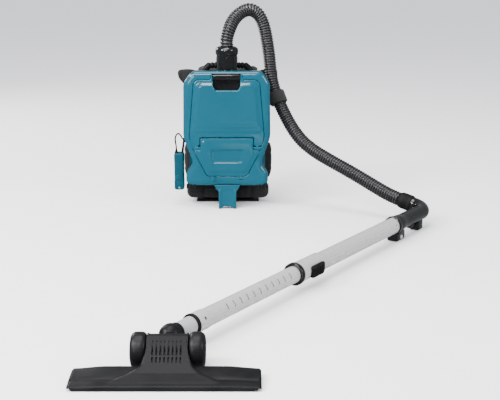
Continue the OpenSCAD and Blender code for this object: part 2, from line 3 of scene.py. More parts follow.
import bmesh
import bpy
import numpy as np
from mathutils import Matrix, Vector
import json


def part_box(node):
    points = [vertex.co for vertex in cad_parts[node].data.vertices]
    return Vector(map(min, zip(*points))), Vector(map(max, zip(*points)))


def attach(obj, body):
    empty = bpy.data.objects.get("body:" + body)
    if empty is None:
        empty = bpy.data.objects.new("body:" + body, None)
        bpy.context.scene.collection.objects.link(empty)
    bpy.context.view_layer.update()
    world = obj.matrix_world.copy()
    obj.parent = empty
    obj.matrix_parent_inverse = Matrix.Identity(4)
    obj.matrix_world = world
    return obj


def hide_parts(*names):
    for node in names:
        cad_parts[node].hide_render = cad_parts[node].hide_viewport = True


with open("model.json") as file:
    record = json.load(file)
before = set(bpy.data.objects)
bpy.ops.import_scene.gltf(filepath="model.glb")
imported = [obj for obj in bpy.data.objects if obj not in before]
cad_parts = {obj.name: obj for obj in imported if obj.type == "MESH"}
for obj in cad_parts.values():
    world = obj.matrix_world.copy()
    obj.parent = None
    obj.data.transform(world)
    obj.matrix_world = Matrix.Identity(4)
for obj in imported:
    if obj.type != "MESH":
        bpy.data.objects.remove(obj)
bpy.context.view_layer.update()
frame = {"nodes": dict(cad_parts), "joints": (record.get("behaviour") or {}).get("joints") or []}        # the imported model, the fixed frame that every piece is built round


def mm(text, at=0.0):
    """Rows of numbers in metres, from millimetres; at is added to the first one of each row."""
    rows = [[float(number) / 1000 for number in row.split()] for row in text.split(",")]
    return [(at + first, *rest) for first, *rest in rows]


# ---------------------------------------------------------------- places that the frame gives
JOINTS = {joint["name"]: joint for joint in frame["joints"]}
ELBOW = np.array(JOINTS["head_swivel"]["pos_m"])
WAND_DIR = np.array(JOINTS["wand_telescope"]["axis"])
BARREL_DIR = np.array(JOINTS["head_swivel"]["axis"])
AXLE = np.array(JOINTS["head_tilt"]["pos_m"])
WAND_SIDE = np.array([WAND_DIR[1], -WAND_DIR[0], 0])

# The hose's centreline from the connector to the handle's cuff.
HOSE_ROUTE = mm("0 -15 419, 0 -15 435, 6 -8 460, 17 6 484, 35 18 502, 57 28 510, 77 35 502, 91 38 482, "
    "100 39 454, 106 39 423, 111 38 389, 115 36 352, 121 30 316, 133 20 280, 149 4 245, 170 -16 208, "
    "196 -38 176, 230 -60 151, 269 -84 131, 307 -106 113, 342 -128 96, 375 -150 79, 407 -173 64, "
    "434 -193 55")
# The remote control's cable, from the box up and over to the housing's side.
CABLE_ROUTE = mm("-134 -34 150, -134 -34 158, -135 -35 166, -136 -36 174, -136 -38 182, -134 -40 189, "
    "-130 -42 194, -126 -44 195, -122 -46 192, -119 -47 187, -117 -48 184, -114 -48 182")
HOSE_D = .035
CABLE_D = .004
SIDES = ((-1, "left"), (1, "right"))


# ---------------------------------------------------------------- numbers into shapes
def unit(v):
    return np.asarray(v, float) / np.linalg.norm(v)


def smooth(t):
    t = np.clip(t, 0, 1)
    return t * t * (3 - 2 * t)


def rounded(corners, radius, steps=6):
    """An outline whose corners are arcs. radius is one number, or one for each corner."""
    pts = [np.array(c, float) for c in corners]
    radii = radius if hasattr(radius, "__len__") else [radius] * len(pts)
    made = []
    for i, p in enumerate(pts):
        before, after = pts[i - 1] - p, pts[(i + 1) % len(pts)] - p
        room = min(np.linalg.norm(before), np.linalg.norm(after)) * .49
        a, b = unit(before), unit(after)
        half = acos(np.clip(a @ b, -1, 1)) / 2
        if radii[i] <= 0 or half > pi / 2 - .01:
            made.append(p)
            continue
        reach = min(radii[i] / tan(half), room)
        centre = p + unit(a + b) * reach / cos(half)
        start, end = p + a * reach - centre, p + b * reach - centre
        sweep = acos(np.clip(unit(start) @ unit(end), -1, 1))
        for k in range(steps + 1):
            t = k / steps
            made.append(centre + (sin((1 - t) * sweep) * start + sin(t * sweep) * end) / sin(sweep))
    return np.array(made)


def offset(outline, inset):
    """A closed counter-clockwise outline moved inward."""
    p = np.asarray(outline, float)
    step = np.roll(p, -1, 0) - p
    normal = np.stack([-step[:, 1], step[:, 0]], 1)
    normal /= np.linalg.norm(normal, axis=1)[:, None]
    before = np.roll(normal, 1, 0)
    both = normal + before
    both /= np.linalg.norm(both, axis=1)[:, None]
    return p + both * (inset / np.maximum((both * before).sum(1), .4))[:, None]


def signed_distance(points, outline):
    """How far inside an outline each point is, negative outside."""
    p, a = np.asarray(points, float), np.asarray(outline, float)
    b = np.roll(a, -1, 0)
    best, inside = np.full(len(p), 1e9), np.zeros(len(p), bool)
    for s, e in zip(a, b):
        d = e - s
        t = np.clip(((p - s) @ d) / max(d @ d, 1e-12), 0, 1)
        best = np.minimum(best, np.linalg.norm(p - s - t[:, None] * d, axis=1))
        crosses = (s[1] > p[:, 1]) != (e[1] > p[:, 1])
        if s[1] != e[1]:
            at = s[0] + (p[:, 1] - s[1]) / (e[1] - s[1]) * d[0]
            inside ^= crosses & (p[:, 0] < at)
    return np.where(inside, best, -best)


def spline(points, step):
    """A smooth line through points, cut into even steps."""
    p = np.array(points, float)
    ext = np.vstack([2 * p[0] - p[1], p, 2 * p[-1] - p[-2]])
    fine = []
    for i in range(1, len(ext) - 2):
        a, b, c, d = ext[i - 1:i + 3]
        for t in np.linspace(0, 1, 24, endpoint=False):
            fine.append(.5 * (2 * b + (c - a) * t + (2 * a - 5 * b + 4 * c - d) * t ** 2
                + (3 * b - a - 3 * c + d) * t ** 3))
    fine = np.array(fine + [p[-1]])
    along = np.concatenate([[0], np.cumsum(np.linalg.norm(np.diff(fine, axis=0), axis=1))])
    at = np.linspace(0, along[-1], max(2, round(along[-1] / step) + 1))
    return np.stack([np.interp(at, along, fine[:, k]) for k in range(fine.shape[1])], 1)


def carried_frames(line, first=(.3, .9, .1)):
    """Two directions across a line at each point, turning as little as they can."""
    ways = np.gradient(np.asarray(line, float), axis=0)
    ways /= np.linalg.norm(ways, axis=1)[:, None]
    side, sides = np.array(first, float), []
    for d in ways:
        side = unit(side - (side @ d) * d)
        sides.append(side)
    sides = np.array(sides)
    return sides, np.cross(ways, sides)


def place(origin, z_axis, x_axis=(1, 0, 0)):
    """A matrix whose +Z runs along z_axis from origin, with +X as near x_axis as it can be."""
    z = unit(z_axis)
    x = unit(np.array(x_axis, float) - (np.array(x_axis, float) @ z) * z)
    m = Matrix.Identity(4)
    for k, axis in enumerate((x, np.cross(z, x), z)):
        m.col[k][:3] = axis
    m.translation = origin
    return m


def outline(corners, radii, mirror=False, steps=6):
    """A rounded outline from corners and radii in mm. A mirrored one is given by its right half."""
    points, radii = mm(corners), list(mm(radii)[0])
    radii *= len(points) if len(radii) == 1 else 1
    if mirror:
        back = [k for k in reversed(range(len(points))) if points[k][0] > 0]
        points += [(-points[k][0], points[k][1]) for k in back]
        radii += [radii[k] for k in back]
    return rounded(points, radii, steps)


def turned(degrees, axis="Z"):
    return Matrix.Rotation(radians(degrees), 4, axis)


def on_wand(s, roll=0):
    """The wand's frame s metres from the elbow: +Z to the handle, +X to its right, +Y down."""
    return place(ELBOW + s * WAND_DIR, WAND_DIR, WAND_SIDE) @ turned(roll)


def on_axle():
    """The tilt axis's frame: +Z to the right along the wheels' axle, +X down."""
    return place(AXLE, (1, 0, 0), (0, 0, -1))


# ---------------------------------------------------------------- shapes into pieces
def shade(obj, sharp):
    bm = bmesh.new()
    bm.from_mesh(obj.data)
    bmesh.ops.recalc_face_normals(bm, faces=bm.faces)
    bm.to_mesh(obj.data)
    bm.free()
    obj.data.shade_smooth()
    obj.data.set_sharp_from_angle(angle=radians(sharp))


def settle(obj):
    """Applies the modifiers that are on a piece."""
    bpy.context.view_layer.update()
    mesh = bpy.data.meshes.new_from_object(obj.evaluated_get(bpy.context.evaluated_depsgraph_get()))
    obj.modifiers.clear()
    obj.data = mesh
    return obj


def add_object(name, mesh, matrix=None):
    if matrix is not None:
        mesh.transform(matrix)
    obj = bpy.data.objects.new(name, mesh)
    bpy.context.scene.collection.objects.link(obj)
    return obj


def new_object(name, points, faces, matrix=None):
    mesh = bpy.data.meshes.new(name)
    mesh.from_pydata([tuple(p) for p in points], [], faces)
    return add_object(name, mesh, matrix)


def from_bmesh(name, bm, matrix=None):
    mesh = bpy.data.meshes.new(name)
    bm.to_mesh(mesh)
    bm.free()
    return add_object(name, mesh, matrix)


def points_of(obj):
    return np.array([v.co for v in obj.data.vertices])


def move_points(obj, points):
    obj.data.vertices.foreach_set("co", points.ravel())
    obj.data.update()


def finish_piece(obj, body, material, replaces=None, sharp=35):
    """Shades a piece, gives it its material and puts it on its body."""
    shade(obj, sharp)
    obj.data.materials.clear()
    obj.data.materials.append(material)
    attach(obj, body)
    if replaces:
        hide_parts(replaces)
    return obj


def loft(name, rings, matrix=None, closed=False):
    """A skin over rings of equal length. A closed one runs on from the last ring to the first, and any
    other one has a cap at each end."""
    count, sides = len(rings), len(rings[0])
    faces = [(i * sides + k, i * sides + (k + 1) % sides, (i + 1) % count * sides + (k + 1) % sides,
        (i + 1) % count * sides + k) for i in range(count - 1 + closed) for k in range(sides)]
    faces += [tuple(end * (count - 1) * sides + k for k in range(sides)) for end in (0, 1)
        if not closed]
    return new_object(name, np.vstack([np.asarray(r, float) for r in rings]), faces, matrix)


def lathe(name, profile, matrix, sides=96, hollow=True):
    """A turned piece: profile lists (distance along Z, radius). A hollow one closes on itself."""
    turn = np.linspace(0, 2 * pi, sides, endpoint=False)
    rings = [np.stack([r * np.cos(turn), r * np.sin(turn), np.full(sides, z)], 1) for z, r in profile]
    return loft(name, rings, matrix, hollow)


def tube(name, line, radius, sides):
    """A tube along a line; radius is one number or one for each point."""
    line = np.asarray(line, float)
    a, b = carried_frames(line)
    radius = np.broadcast_to(radius, len(line))
    turn = np.linspace(0, 2 * pi, sides, endpoint=False)
    rings = [p + r * (np.cos(turn)[:, None] * u + np.sin(turn)[:, None] * v) for p, r, u, v in zip(line,
        radius, a, b)]
    return loft(name, rings)


def block(name, low, high, edge, segments=4, matrix=None):
    """A box with rounded edges."""
    bm = bmesh.new()
    bmesh.ops.create_cube(bm, size=1)
    low, high = Vector(low), Vector(high)
    for v in bm.verts:
        v.co = Vector((v.co[k] + .5) * (high[k] - low[k]) + low[k] for k in range(3))
    bmesh.ops.bevel(bm, geom=bm.edges[:], offset=edge, segments=segments, profile=.5, affect="EDGES")
    return from_bmesh(name, bm, matrix)


def blocks(rows, edge, segments=4, x=0.0, matrix=None):
    """Boxes from rows of their low and high corners in mm, moved along X by x."""
    return [block("block", (x + r[0], *r[1:3]), (x + r[3], *r[4:]), edge, segments, matrix)
        for r in mm(rows)]


def join(name, objects):
    """Several meshes as one piece of several shells."""
    bm = bmesh.new()
    for o in objects:
        bm.from_mesh(o.data)
        bpy.data.objects.remove(o)
    return from_bmesh(name, bm)


def boolean(obj, others, operation="DIFFERENCE"):
    for other in others:
        m = obj.modifiers.new("cut", "BOOLEAN")
        m.operation, m.object, m.solver = operation, other, "EXACT"
    settle(obj)
    for other in others:
        bpy.data.objects.remove(other)
    return obj


def panel(name, outline, holes, front, back, edge, steps, grid, crown=0):
    """A moulded panel that stands in XZ with its face at Y = front, a rounded edge, and raised or
    sunken fields. steps lists (outline, height, width of its slope); a field in a step lies inside."""
    bm = bmesh.new()

    def ring(points, y):
        return [bm.verts.new((x, y, z)) for x, z in points]

    def bridge(a, b):
        for k in range(len(a)):
            m = (k + 1) % len(a)
            bm.faces.new((a[k], a[m], b[m], b[k]))

    def fill(loops):
        edges = [bm.edges.get((r[k], r[(k + 1) % len(r)])) or bm.edges.new((r[k], r[(k + 1) % len(r)]))
            for r in loops for k in range(len(r))]
        bmesh.ops.triangle_fill(bm, edges=edges, use_beauty=True)

    rims, backs = [], []
    for k, loop in enumerate([outline, *holes]):
        inward = 1 if k == 0 else -1
        previous = ring(loop, back)
        backs.append(previous)
        for inset, depth in edge if k == 0 else mm("0 1.5, .3 .5, 1 .1, 1.8 0"):
            current = ring(offset(loop, inward * inset), front + depth)
            bridge(previous, current)
            previous = current
        rims.append(previous)
    fill(rims)
    fill(backs)
    low, high = np.min(outline, 0), np.max(outline, 0)
    for axis, (lo, hi) in enumerate(zip(low, high)):
        normal = (1, 0, 0) if axis == 0 else (0, 0, 1)
        for at in np.arange(lo + grid, hi - grid / 3, grid):
            point = (at, 0, 0) if axis == 0 else (0, 0, at)
            bmesh.ops.bisect_plane(bm, geom=bm.verts[:] + bm.edges[:] + bm.faces[:], dist=1e-6,
                plane_co=point, plane_no=normal)
    co = np.array([v.co for v in bm.verts])
    share = np.clip((back - co[:, 1]) / (back - front), 0, 1)
    flat = co[:, [0, 2]]
    out = np.zeros(len(co))
    for field, height, width in steps:
        out += height * smooth(signed_distance(flat, field) / width + .5)
    middle, half = (low + high) / 2, (high - low) / 2
    out += crown * (1 - ((flat - middle) / half) ** 2).clip(0, 1).prod(1)
    for v, o, s in zip(bm.verts, out, share):
        v.co.y -= o * s
    return from_bmesh(name, bm)


# ---------------------------------------------------------------- materials
class Nodes:
    """A short way to write a node material."""

    def __init__(self, name):
        self.material = bpy.data.materials.new(name)
        self.material.use_nodes = True
        self.tree = self.material.node_tree
        self.shader = self.tree.nodes["Principled BSDF"]

    def add(self, kind, **inputs):
        node = self.tree.nodes.new(kind)
        for key, value in inputs.items():
            if key in ("operation", "data_type", "feature", "bands_direction", "wave_type",
                    "blend_type", "noise_dimensions", "interpolation_type", "invert", "vector_type"):
                setattr(node, key, value)
            else:
                self.put(node, key.replace("_", " "), value)
        return node

    def put(self, node, key, value):
        socket = node.inputs[int(key)] if key.isdigit() else node.inputs[key]
        if isinstance(value, bpy.types.NodeSocket):
            self.tree.links.new(value, socket)
        else:
            socket.default_value = value

    def coords(self, scale=(1, 1, 1), turn=(0, 0, 0)):
        where = self.add("ShaderNodeTexCoord").outputs["Object"]
        return self.add("ShaderNodeMapping", vector_type="TEXTURE", Vector=where, Rotation=turn,
            Scale=tuple(1 / s for s in scale)).outputs["Vector"]

    def noise(self, where, scale, detail=2, roughness=.5):
        return self.add("ShaderNodeTexNoise", Vector=where, Scale=scale, Detail=detail,
            Roughness=roughness).outputs["Fac"]

    def span(self, value, low, high, out_low, out_high):
        node = self.add("ShaderNodeMapRange", Value=value)
        for key, number in (("From Min", low), ("From Max", high), ("To Min", out_low),
                ("To Max", out_high)):
            node.inputs[key].default_value = number
        return node.outputs["Result"]

    def mix(self, share, a, b):
        node = self.tree.nodes.new("ShaderNodeMix")
        node.data_type = "RGBA"
        for key, value in ((0, share), (6, a), (7, b)):
            if isinstance(value, bpy.types.NodeSocket):
                self.tree.links.new(value, node.inputs[key])
            else:
                node.inputs[key].default_value = value if key == 0 else (*value, 1)
        return node.outputs[2]

    def times(self, a, b, operation="MULTIPLY"):
        return self.add("ShaderNodeMath", operation=operation, **{"0": a, "1": b}).outputs[0]

    def bump(self, height, strength, distance):
        return self.add("ShaderNodeBump", Height=height, Strength=strength,
            Distance=distance).outputs["Normal"]

    def set(self, **inputs):
        for key, value in inputs.items():
            self.put(self.shader, key.replace("_", " "), value if not isinstance(value, tuple)
                else (*value, 1))
        return self.material


def edge_wear(n, low=.52, high=.62):
    """Where the surface turns outward sharply, rubbed a little."""
    point = n.add("ShaderNodeNewGeometry").outputs["Pointiness"]
    return n.span(point, low, high, 0, 1)


def gloss_plastic(name, color, light, roughness=.16, coat=.5):
    """Moulded gloss plastic: a faint flow in the colour, fine dust and a slightly uneven surface."""
    n = Nodes(name)
    where = n.coords()
    flow = n.noise(where, 9, 3)
    dust = n.noise(where, 420, 4, .7)
    fine = n.noise(where, 60, 2)
    base = n.mix(n.span(flow, .3, .7, 0, .5), color, light)
    base = n.mix(n.span(dust, .66, .86, 0, .035), base, (.4, .44, .46))
    worn = n.mix(n.times(edge_wear(n), .16), base, light)
    rough = n.times(n.span(dust, .35, .8, -.02, .1), roughness, "ADD")
    return n.set(Base_Color=worn, Roughness=rough, Coat_Weight=coat, Coat_Roughness=.06,
        Specular_IOR_Level=.3, Normal=n.bump(fine, .035, .0008))


def satin_plastic(name, color, light, roughness=.42, grain=900, depth=.18):
    """Spark-eroded plastic: a fine grain, rubbed a little lighter on its edges."""
    n = Nodes(name)
    where = n.coords()
    grains = n.noise(where, grain, 3, .65)
    patches = n.noise(where, 26, 3)
    base = n.mix(n.span(patches, .3, .7, 0, 1), color, light)
    base = n.mix(n.times(edge_wear(n), .25), base, tuple(min(1, c * 2.4 + .006) for c in light))
    rough = n.span(n.times(grains, patches), .1, .45, roughness - .08, roughness + .1)
    return n.set(Base_Color=base, Roughness=rough, Specular_IOR_Level=.13, Normal=n.bump(grains, depth,
        .0004))


def rubber(name, color, roughness=.68):
    n = Nodes(name)
    where = n.coords()
    grains = n.noise(where, 1400, 2, .6)
    dust = n.noise(where, 55, 4, .7)
    base = n.mix(n.span(dust, .45, .8, 0, .35), color, tuple(c * 1.9 + .003 for c in color))
    return n.set(Base_Color=base, Roughness=n.span(dust, .3, .8, roughness - .08, roughness + .12),
        Normal=n.bump(grains, .22, .0003), Specular_IOR_Level=.18)


def hose_plastic(name, color):
    """Flexible hose: half gloss, greyer where the crests rub."""
    n = Nodes(name)
    where = n.coords()
    scuffs = n.noise(where, 240, 4, .7)
    patches = n.noise(where, 18, 2)
    base = n.mix(n.span(patches, .3, .7, 0, 1), color, tuple(c * 1.5 for c in color))
    base = n.mix(n.times(edge_wear(n, .5, .58), n.span(scuffs, .35, .7, .3, .9)), base,
        (.06, .06, .064))
    return n.set(Base_Color=base, Roughness=n.span(scuffs, .3, .7, .2, .34), Normal=n.bump(scuffs, .08,
        .0003))


def weave(name, color, light, pitch, turn=(0, 0, 0), roughness=.82, depth=.5):
    """Woven cloth: threads over and under in all three directions, so that any side shows a weave."""
    n = Nodes(name)
    where = n.coords(turn=turn)
    waves = []
    for direction in ("X", "Y", "Z"):
        wave = n.add("ShaderNodeTexWave", Vector=where, Scale=1 / pitch / 2, Distortion=.35, Detail=1,
            bands_direction=direction)
        waves.append(wave.outputs["Fac"])
    over = n.times(n.times(waves[0], waves[2]), n.times(waves[1], .6), "ADD")
    fuzz = n.noise(where, 1600, 2, .6)
    wear = n.noise(where, 22, 3)
    height = n.times(over, n.times(fuzz, .35), "ADD")
    base = n.mix(n.span(over, .1, 1.1, 0, .8), color, light)
    base = n.mix(n.span(wear, .45, .8, 0, .35), base, tuple(c * 1.6 + .002 for c in light))
    return n.set(Base_Color=base, Roughness=roughness, Sheen_Weight=.08, Sheen_Roughness=.5,
        Normal=n.bump(height, depth, .0005))


def brushed(name, color, light, roughness=.3, stretch=(1, 1, 1), turn=(0, 0, 0), scale=700, depth=.05,
        metallic=1.0):
    """Drawn and anodised metal: fine lines along it, with a few darker scratches."""
    n = Nodes(name)
    lines = n.noise(n.coords(stretch, turn), scale, 3, .6)
    cloud = n.noise(n.coords(), 14, 3)
    scratch = n.noise(n.coords(tuple(s * 1.7 for s in stretch), turn), scale * .4, 5, .8)
    base = n.mix(n.span(lines, .3, .7, 0, 1), color, light)
    base = n.mix(n.span(scratch, .66, .74, 0, .18), base, tuple(c * .6 for c in color))
    rough = n.times(n.span(cloud, .3, .7, -.04, .06), n.span(lines, .3, .7, roughness - .05,
        roughness + .06), "ADD")
    return n.set(Base_Color=base, Metallic=metallic, Roughness=rough, Normal=n.bump(lines, depth,
        .0002))


def plain(name, color, light, roughness, scale=120, depth=.15, metallic=0.0):
    """A material with grain, cloudy colour and uneven gloss, for the small and inner pieces."""
    n = Nodes(name)
    where = n.coords()
    grains = n.noise(where, scale * 8, 3, .6)
    cloud = n.noise(where, scale, 4)
    base = n.mix(n.span(cloud, .3, .7, 0, 1), color, light)
    return n.set(Base_Color=base, Metallic=metallic, Roughness=n.span(cloud, .3, .7, roughness - .06,
        roughness + .08), Normal=n.bump(grains, depth, .0003))


WAND_TURN = (0, 0, -atan2(WAND_DIR[0], WAND_DIR[1]))
TEAL = gloss_plastic("teal_gloss", (.0026, .055, .085), (.004, .07, .106), .14, .35)
TEAL_DARK = satin_plastic("teal_dark", (.003, .04, .06), (.004, .05, .074), .3, 1200, .08)
BLACK_GLOSS = gloss_plastic("black_gloss", (.0026, .0026, .003), (.0046, .0046, .0052), .13, .6)
BLACK_SATIN = satin_plastic("black_satin", (.0032, .0032, .0035), (.006, .006, .0066), .38)
BLACK_GRAIN = satin_plastic("black_grain", (.004, .004, .0044), (.0075, .0075, .0082), .46, 650, .3)
GREY_GRAIN = satin_plastic("grey_grain", (.24, .245, .26), (.3, .305, .32), .5, 520, .55)
HOSE_MATERIAL = hose_plastic("hose_plastic", (.0045, .0045, .005))
RUBBER = rubber("rubber_black", (.004, .004, .004))
TREAD = rubber("wheel_tread", (.005, .005, .0055), .4)
NYLON = weave("nylon_weave", (.0026, .0026, .003), (.007, .007, .008), .0011)
MESH_CLOTH = weave("mesh_cloth", (.002, .002, .0024), (.009, .009, .01), .0024, depth=.8)
WEBBING = weave("webbing", (.002, .002, .0022), (.006, .006, .0066), .0016, (0, 0, .785), .7, .7)
ALUMINIUM = brushed("satin_aluminium", (.7, .7, .69), (.735, .735, .725), .24, (1, .015, 1), WAND_TURN,
    depth=.02, metallic=.6)
STEEL = brushed("plated_steel", (.45, .45, .46), (.62, .62, .63), .3, (1, 1, .05))
BRASS = plain("contact_brass", (.55, .36, .14), (.7, .5, .24), .3, 90, .05, 1.0)
PAPER = plain("filter_paper", (.56, .49, .37), (.68, .61, .49), .85, 40, .5)
FILTER = plain("filter_foam", (.66, .66, .62), (.8, .8, .76), .9, 160, .7)
CARD = plain("pressed_card", (.6, .55, .46), (.72, .67, .57), .8, 60, .3)
BOARD = plain("circuit_green", (.018, .12, .045), (.03, .19, .07), .35, 50, .1)
LAMP = plain("lamp_lens", (.16, .3, .28), (.24, .4, .36), .2, 30, .02)
BRISTLE = plain("bristle", (.012, .012, .012), (.03, .03, .032), .75, 500, .8)


def dress(node, material, width):
    """Gives a CAD node that is already the right shape softer edges and its material."""
    obj = frame["nodes"][node]
    weld = obj.modifiers.new("weld", "WELD")
    weld.merge_threshold = 1e-5
    flat = obj.modifiers.new("flat", "DECIMATE")
    flat.decimate_type, flat.angle_limit = "DISSOLVE", radians(1)
    edges = obj.modifiers.new("edges", "BEVEL")
    edges.width, edges.segments, edges.limit_method = width, 2, "ANGLE"
    edges.angle_limit = radians(35)
    obj.data.materials.clear()
    obj.data.materials.append(material)
    return obj


# ---------------------------------------------------------------- camera, light and floor
def make_camera():
    data = bpy.data.cameras.new("camera")
    data.lens, data.sensor_width = 72, 36
    camera = bpy.data.objects.new("camera", data)
    camera.location = (.06, -2.623, .65)
    camera.rotation_euler = (radians(90 - 13.8), 0, 0)
    bpy.context.scene.collection.objects.link(camera)
    bpy.context.scene.camera = camera


def softbox(name, at, look, size, power, tall=None):
    data = bpy.data.lights.new(name, "AREA")
    data.shape, data.size, data.size_y, data.energy = "RECTANGLE", size, tall or size, power
    light = bpy.data.objects.new(name, data)
    light.location = at
    light.rotation_euler = (Vector(look) - Vector(at)).to_track_quat("-Z", "Y").to_euler()
    bpy.context.scene.collection.objects.link(light)


def make_studio():
    softbox("key", (-2.0, -1.6, 1.9), (0, -.3, .15), .9, 105)
    softbox("fill", (2.3, -1.7, 1.4), (.1, -.4, .1), .9, 34)
    softbox("top", (-.2, -.6, 3.0), (.1, -.45, 0), 1.8, 80)
    softbox("front", (-.95, -2.35, .85), (0, -.07, .27), .6, 15)
    softbox("gloss", (-.6, -2.25, 2.1), (.05, -.2, .3), 1.5, 56, .5)
    softbox("rim", (-1.6, 1.5, 1.2), (0, -.1, .2), .8, 26)
    world = bpy.data.worlds.new("studio")
    world.use_nodes = True
    tree = world.node_tree
    backdrop = tree.nodes["Background"]
    backdrop.inputs["Color"].default_value = (.94, .96, 1.0, 1)
    seen_in_gloss = tree.nodes.new("ShaderNodeLightPath").outputs["Is Glossy Ray"]
    strength = tree.nodes.new("ShaderNodeMapRange")
    strength.inputs["To Min"].default_value, strength.inputs["To Max"].default_value = 1.4, .34
    tree.links.new(seen_in_gloss, strength.inputs["Value"])
    tree.links.new(strength.outputs["Result"], backdrop.inputs["Strength"])
    bpy.context.scene.world = world
    n = Nodes("studio_floor")
    speck = n.noise(n.coords(), 30, 3)
    n.set(Base_Color=n.mix(n.span(speck, .3, .7, 0, 1), (.94, .94, .943), (.96, .96, .963)),
        Roughness=.8)
    floor = new_object("studio_floor", [(-14, -8, 0), (14, -8, 0), (14, 20, 0), (-14, 20, 0)],
        [(0, 1, 2, 3)])
    floor.data.materials.append(n.material)
    floor.visible_glossy = False


# ---------------------------------------------------------------- cords
def corrugated(name, route, diameter, pitch, depth, per_turn=8, sides=48):
    """A corrugated hose: round crests with narrow grooves between them. Returns it and its line."""
    line = spline(route, pitch / per_turn)
    phase = np.arange(len(line)) % per_turn
    groove = np.array([0, .1, .5, .92, 1, .92, .5, .1])[:per_turn]
    radius = diameter / 2 - depth * (1 - groove[phase])
    return tube(name, line, radius, sides), line


def make_cords():
    hose, line = corrugated("hose_tube", HOSE_ROUTE, HOSE_D, .0068, .0026)
    finish_piece(hose, "pack", HOSE_MATERIAL, "hose", 80)
    lead_line = spline(CABLE_ROUTE, .002)
    lead = tube("remote_cable", lead_line, CABLE_D / 2, 20)
    finish_piece(lead, "pack", RUBBER, "control_cable", 60)
    for name, node, start, way in (("cable_relief_box", "cable_reliefs", (-.134, -.034, .1425),
            (0, 0, 1)), ("cable_relief_shell", None, (-.1065, -.048, .182), (-1, 0, 0))):
        profile = mm("0 1.8, 0 4.6, 1.2 4.8")
        for k in range(4):
            profile += [(.0018 + k * .0016, .0042 - k * .0004), (.0026 + k * .0016, .0042 - k * .0004),
                (.003 + k * .0016, .0037 - k * .0004)]
        profile += [(.0092, .0023), (.0092, .0018)]
        relief = lathe(name, profile, place(start, way, (0, 1, 0)), 32)
        finish_piece(relief, "pack", RUBBER, node, 40)


# ---------------------------------------------------------------- pack: shell and covers
SHELL_LOW, SHELL_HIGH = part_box("front_frame")
FRONT = SHELL_LOW.y
FRAME_BACK = SHELL_HIGH.y
HINGE_Y = -.072
DUST_HINGE_X, DUST_HINGE_Z = .0785, .163
BATTERY_HINGE_X, BATTERY_HINGE_Z = .036, .082
VENTS, VENT_PITCH = 7, .0095
CONNECTOR_FRAME = place((0, -.015, 0), (0, 0, 1))
SHELL = outline("0 62, 107 62, 107 95, 91 118, 91 130, 113 190, 111 329, 91 360, 0 360",
    "0 17 20 14 14 60 28 24 0", True, 7)


def hinge_cut(x, z, top):
    """What a hinge takes from the frame: a pocket behind the skin and a notch for its knuckle."""
    return [block("cut", (x - half, FRONT + near, z - under), (x + half, FRAME_BACK + .01, top), edge,
        2) for half, near, under, edge in mm("12 .4 6.5 1, 4.5 -10 3.5 .6")]


def knuckle(x, z, half):
    """A cover's lug round its hinge pin, with the web that joins it to the cover."""
    end = 2 * half
    ring = lathe("knuckle", mm("0 2.65, 0 2.7, .4 3.1") + mm("-.4 3.1, 0 2.7, 0 2.65", end),
        place((x - half, HINGE_Y, z), (1, 0, 0), (0, 1, 0)), 40)
    web = block("web", (x - half, HINGE_Y - .0028, z + .0027), (x + half, HINGE_Y + .0015, z + .008),
        .0004, 2)
    return [ring, web]


def make_front_frame():
    edge = mm("0 9.5, .6 7, 2.2 4.6, 4.6 2.7, 7.8 1.3, 11.2 .5, 14.2 0")
    # One opening takes both covers: the battery cover's part below, the dust cover's above it.
    opening = outline("47.5 86.4, 55.8 92.2, 63 107.5, 89.6 158, 70 158, 70 165.2, 92 165.2, 98 192, "
        "86 330.6, 76.5 340, 43 340", "6 6 14 5 1 1 4 24 11 8 1", True)
    frame_panel = panel("front_frame_shell", SHELL, [offset(opening, .0004)], FRONT, FRAME_BACK, edge,
        [], .008)
    boolean(frame_panel, [block("notch", (-.0412, FRONT - .01, .33), (.0412, FRAME_BACK + .01, .3548),
        .003, 3)])
    for side in (-1, 1):
        boolean(frame_panel, hinge_cut(side * DUST_HINGE_X, DUST_HINGE_Z, .1656))
        boolean(frame_panel, hinge_cut(side * BATTERY_HINGE_X, BATTERY_HINGE_Z, .087))
    finish_piece(frame_panel, "pack", TEAL, "front_frame", 38)
    hooks = [block("hook", (side * x - .0028, FRONT + .003, .0545), (side * x + .0028, FRONT + .015,
        .066), .0011, 3) for side in (-1, 1) for x in (.0855, .0945, .1035)]
    finish_piece(join("front_frame_hooks", hooks), "pack", BLACK_SATIN)


def hinged(cover, x, z, half):
    """Joins a cover's two knuckles to it."""
    return join(cover.name, [cover] + [part for side in (-1, 1) for part in knuckle(side * x, z, half)])


def make_dust_cover():
    shape = outline("70 190, 70 168, 91 168, 97 192, 85 330, 76 339, 42 339, 40 354, 36 354, 34.5 324, "
        "29 313", "3 3 5 20 10 8 3 2 1 12 7", True)
    field = outline("84 221, 75 322, 66 329", "5 10 12", True)
    step = outline("90 205, 89 222", "4", True)
    cover = panel("dust_cover_shell", shape, [], FRONT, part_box("dust_cover")[1].y - .009,
        mm("0 2.2, .4 1.1, 1.2 .4, 2.4 0"), [(field, .0042, .015), (step, .0024, .004)], .0034, .0018)
    finish_piece(hinged(cover, DUST_HINGE_X, DUST_HINGE_Z, .0035), "dust_cover", TEAL,
        "dust_cover", 38)
    bed = panel("latch_recess", outline("-39 311, 39 311, 39 352, -39 352", "6"), [], FRONT + .0105,
        FRONT + .013, mm("0 1, .5 .3, 1.2 0"), [(outline("26 317, 26 330", "6", True), -.001, .004)],
        .004)
    finish_piece(bed, "dust_cover", BLACK_SATIN)


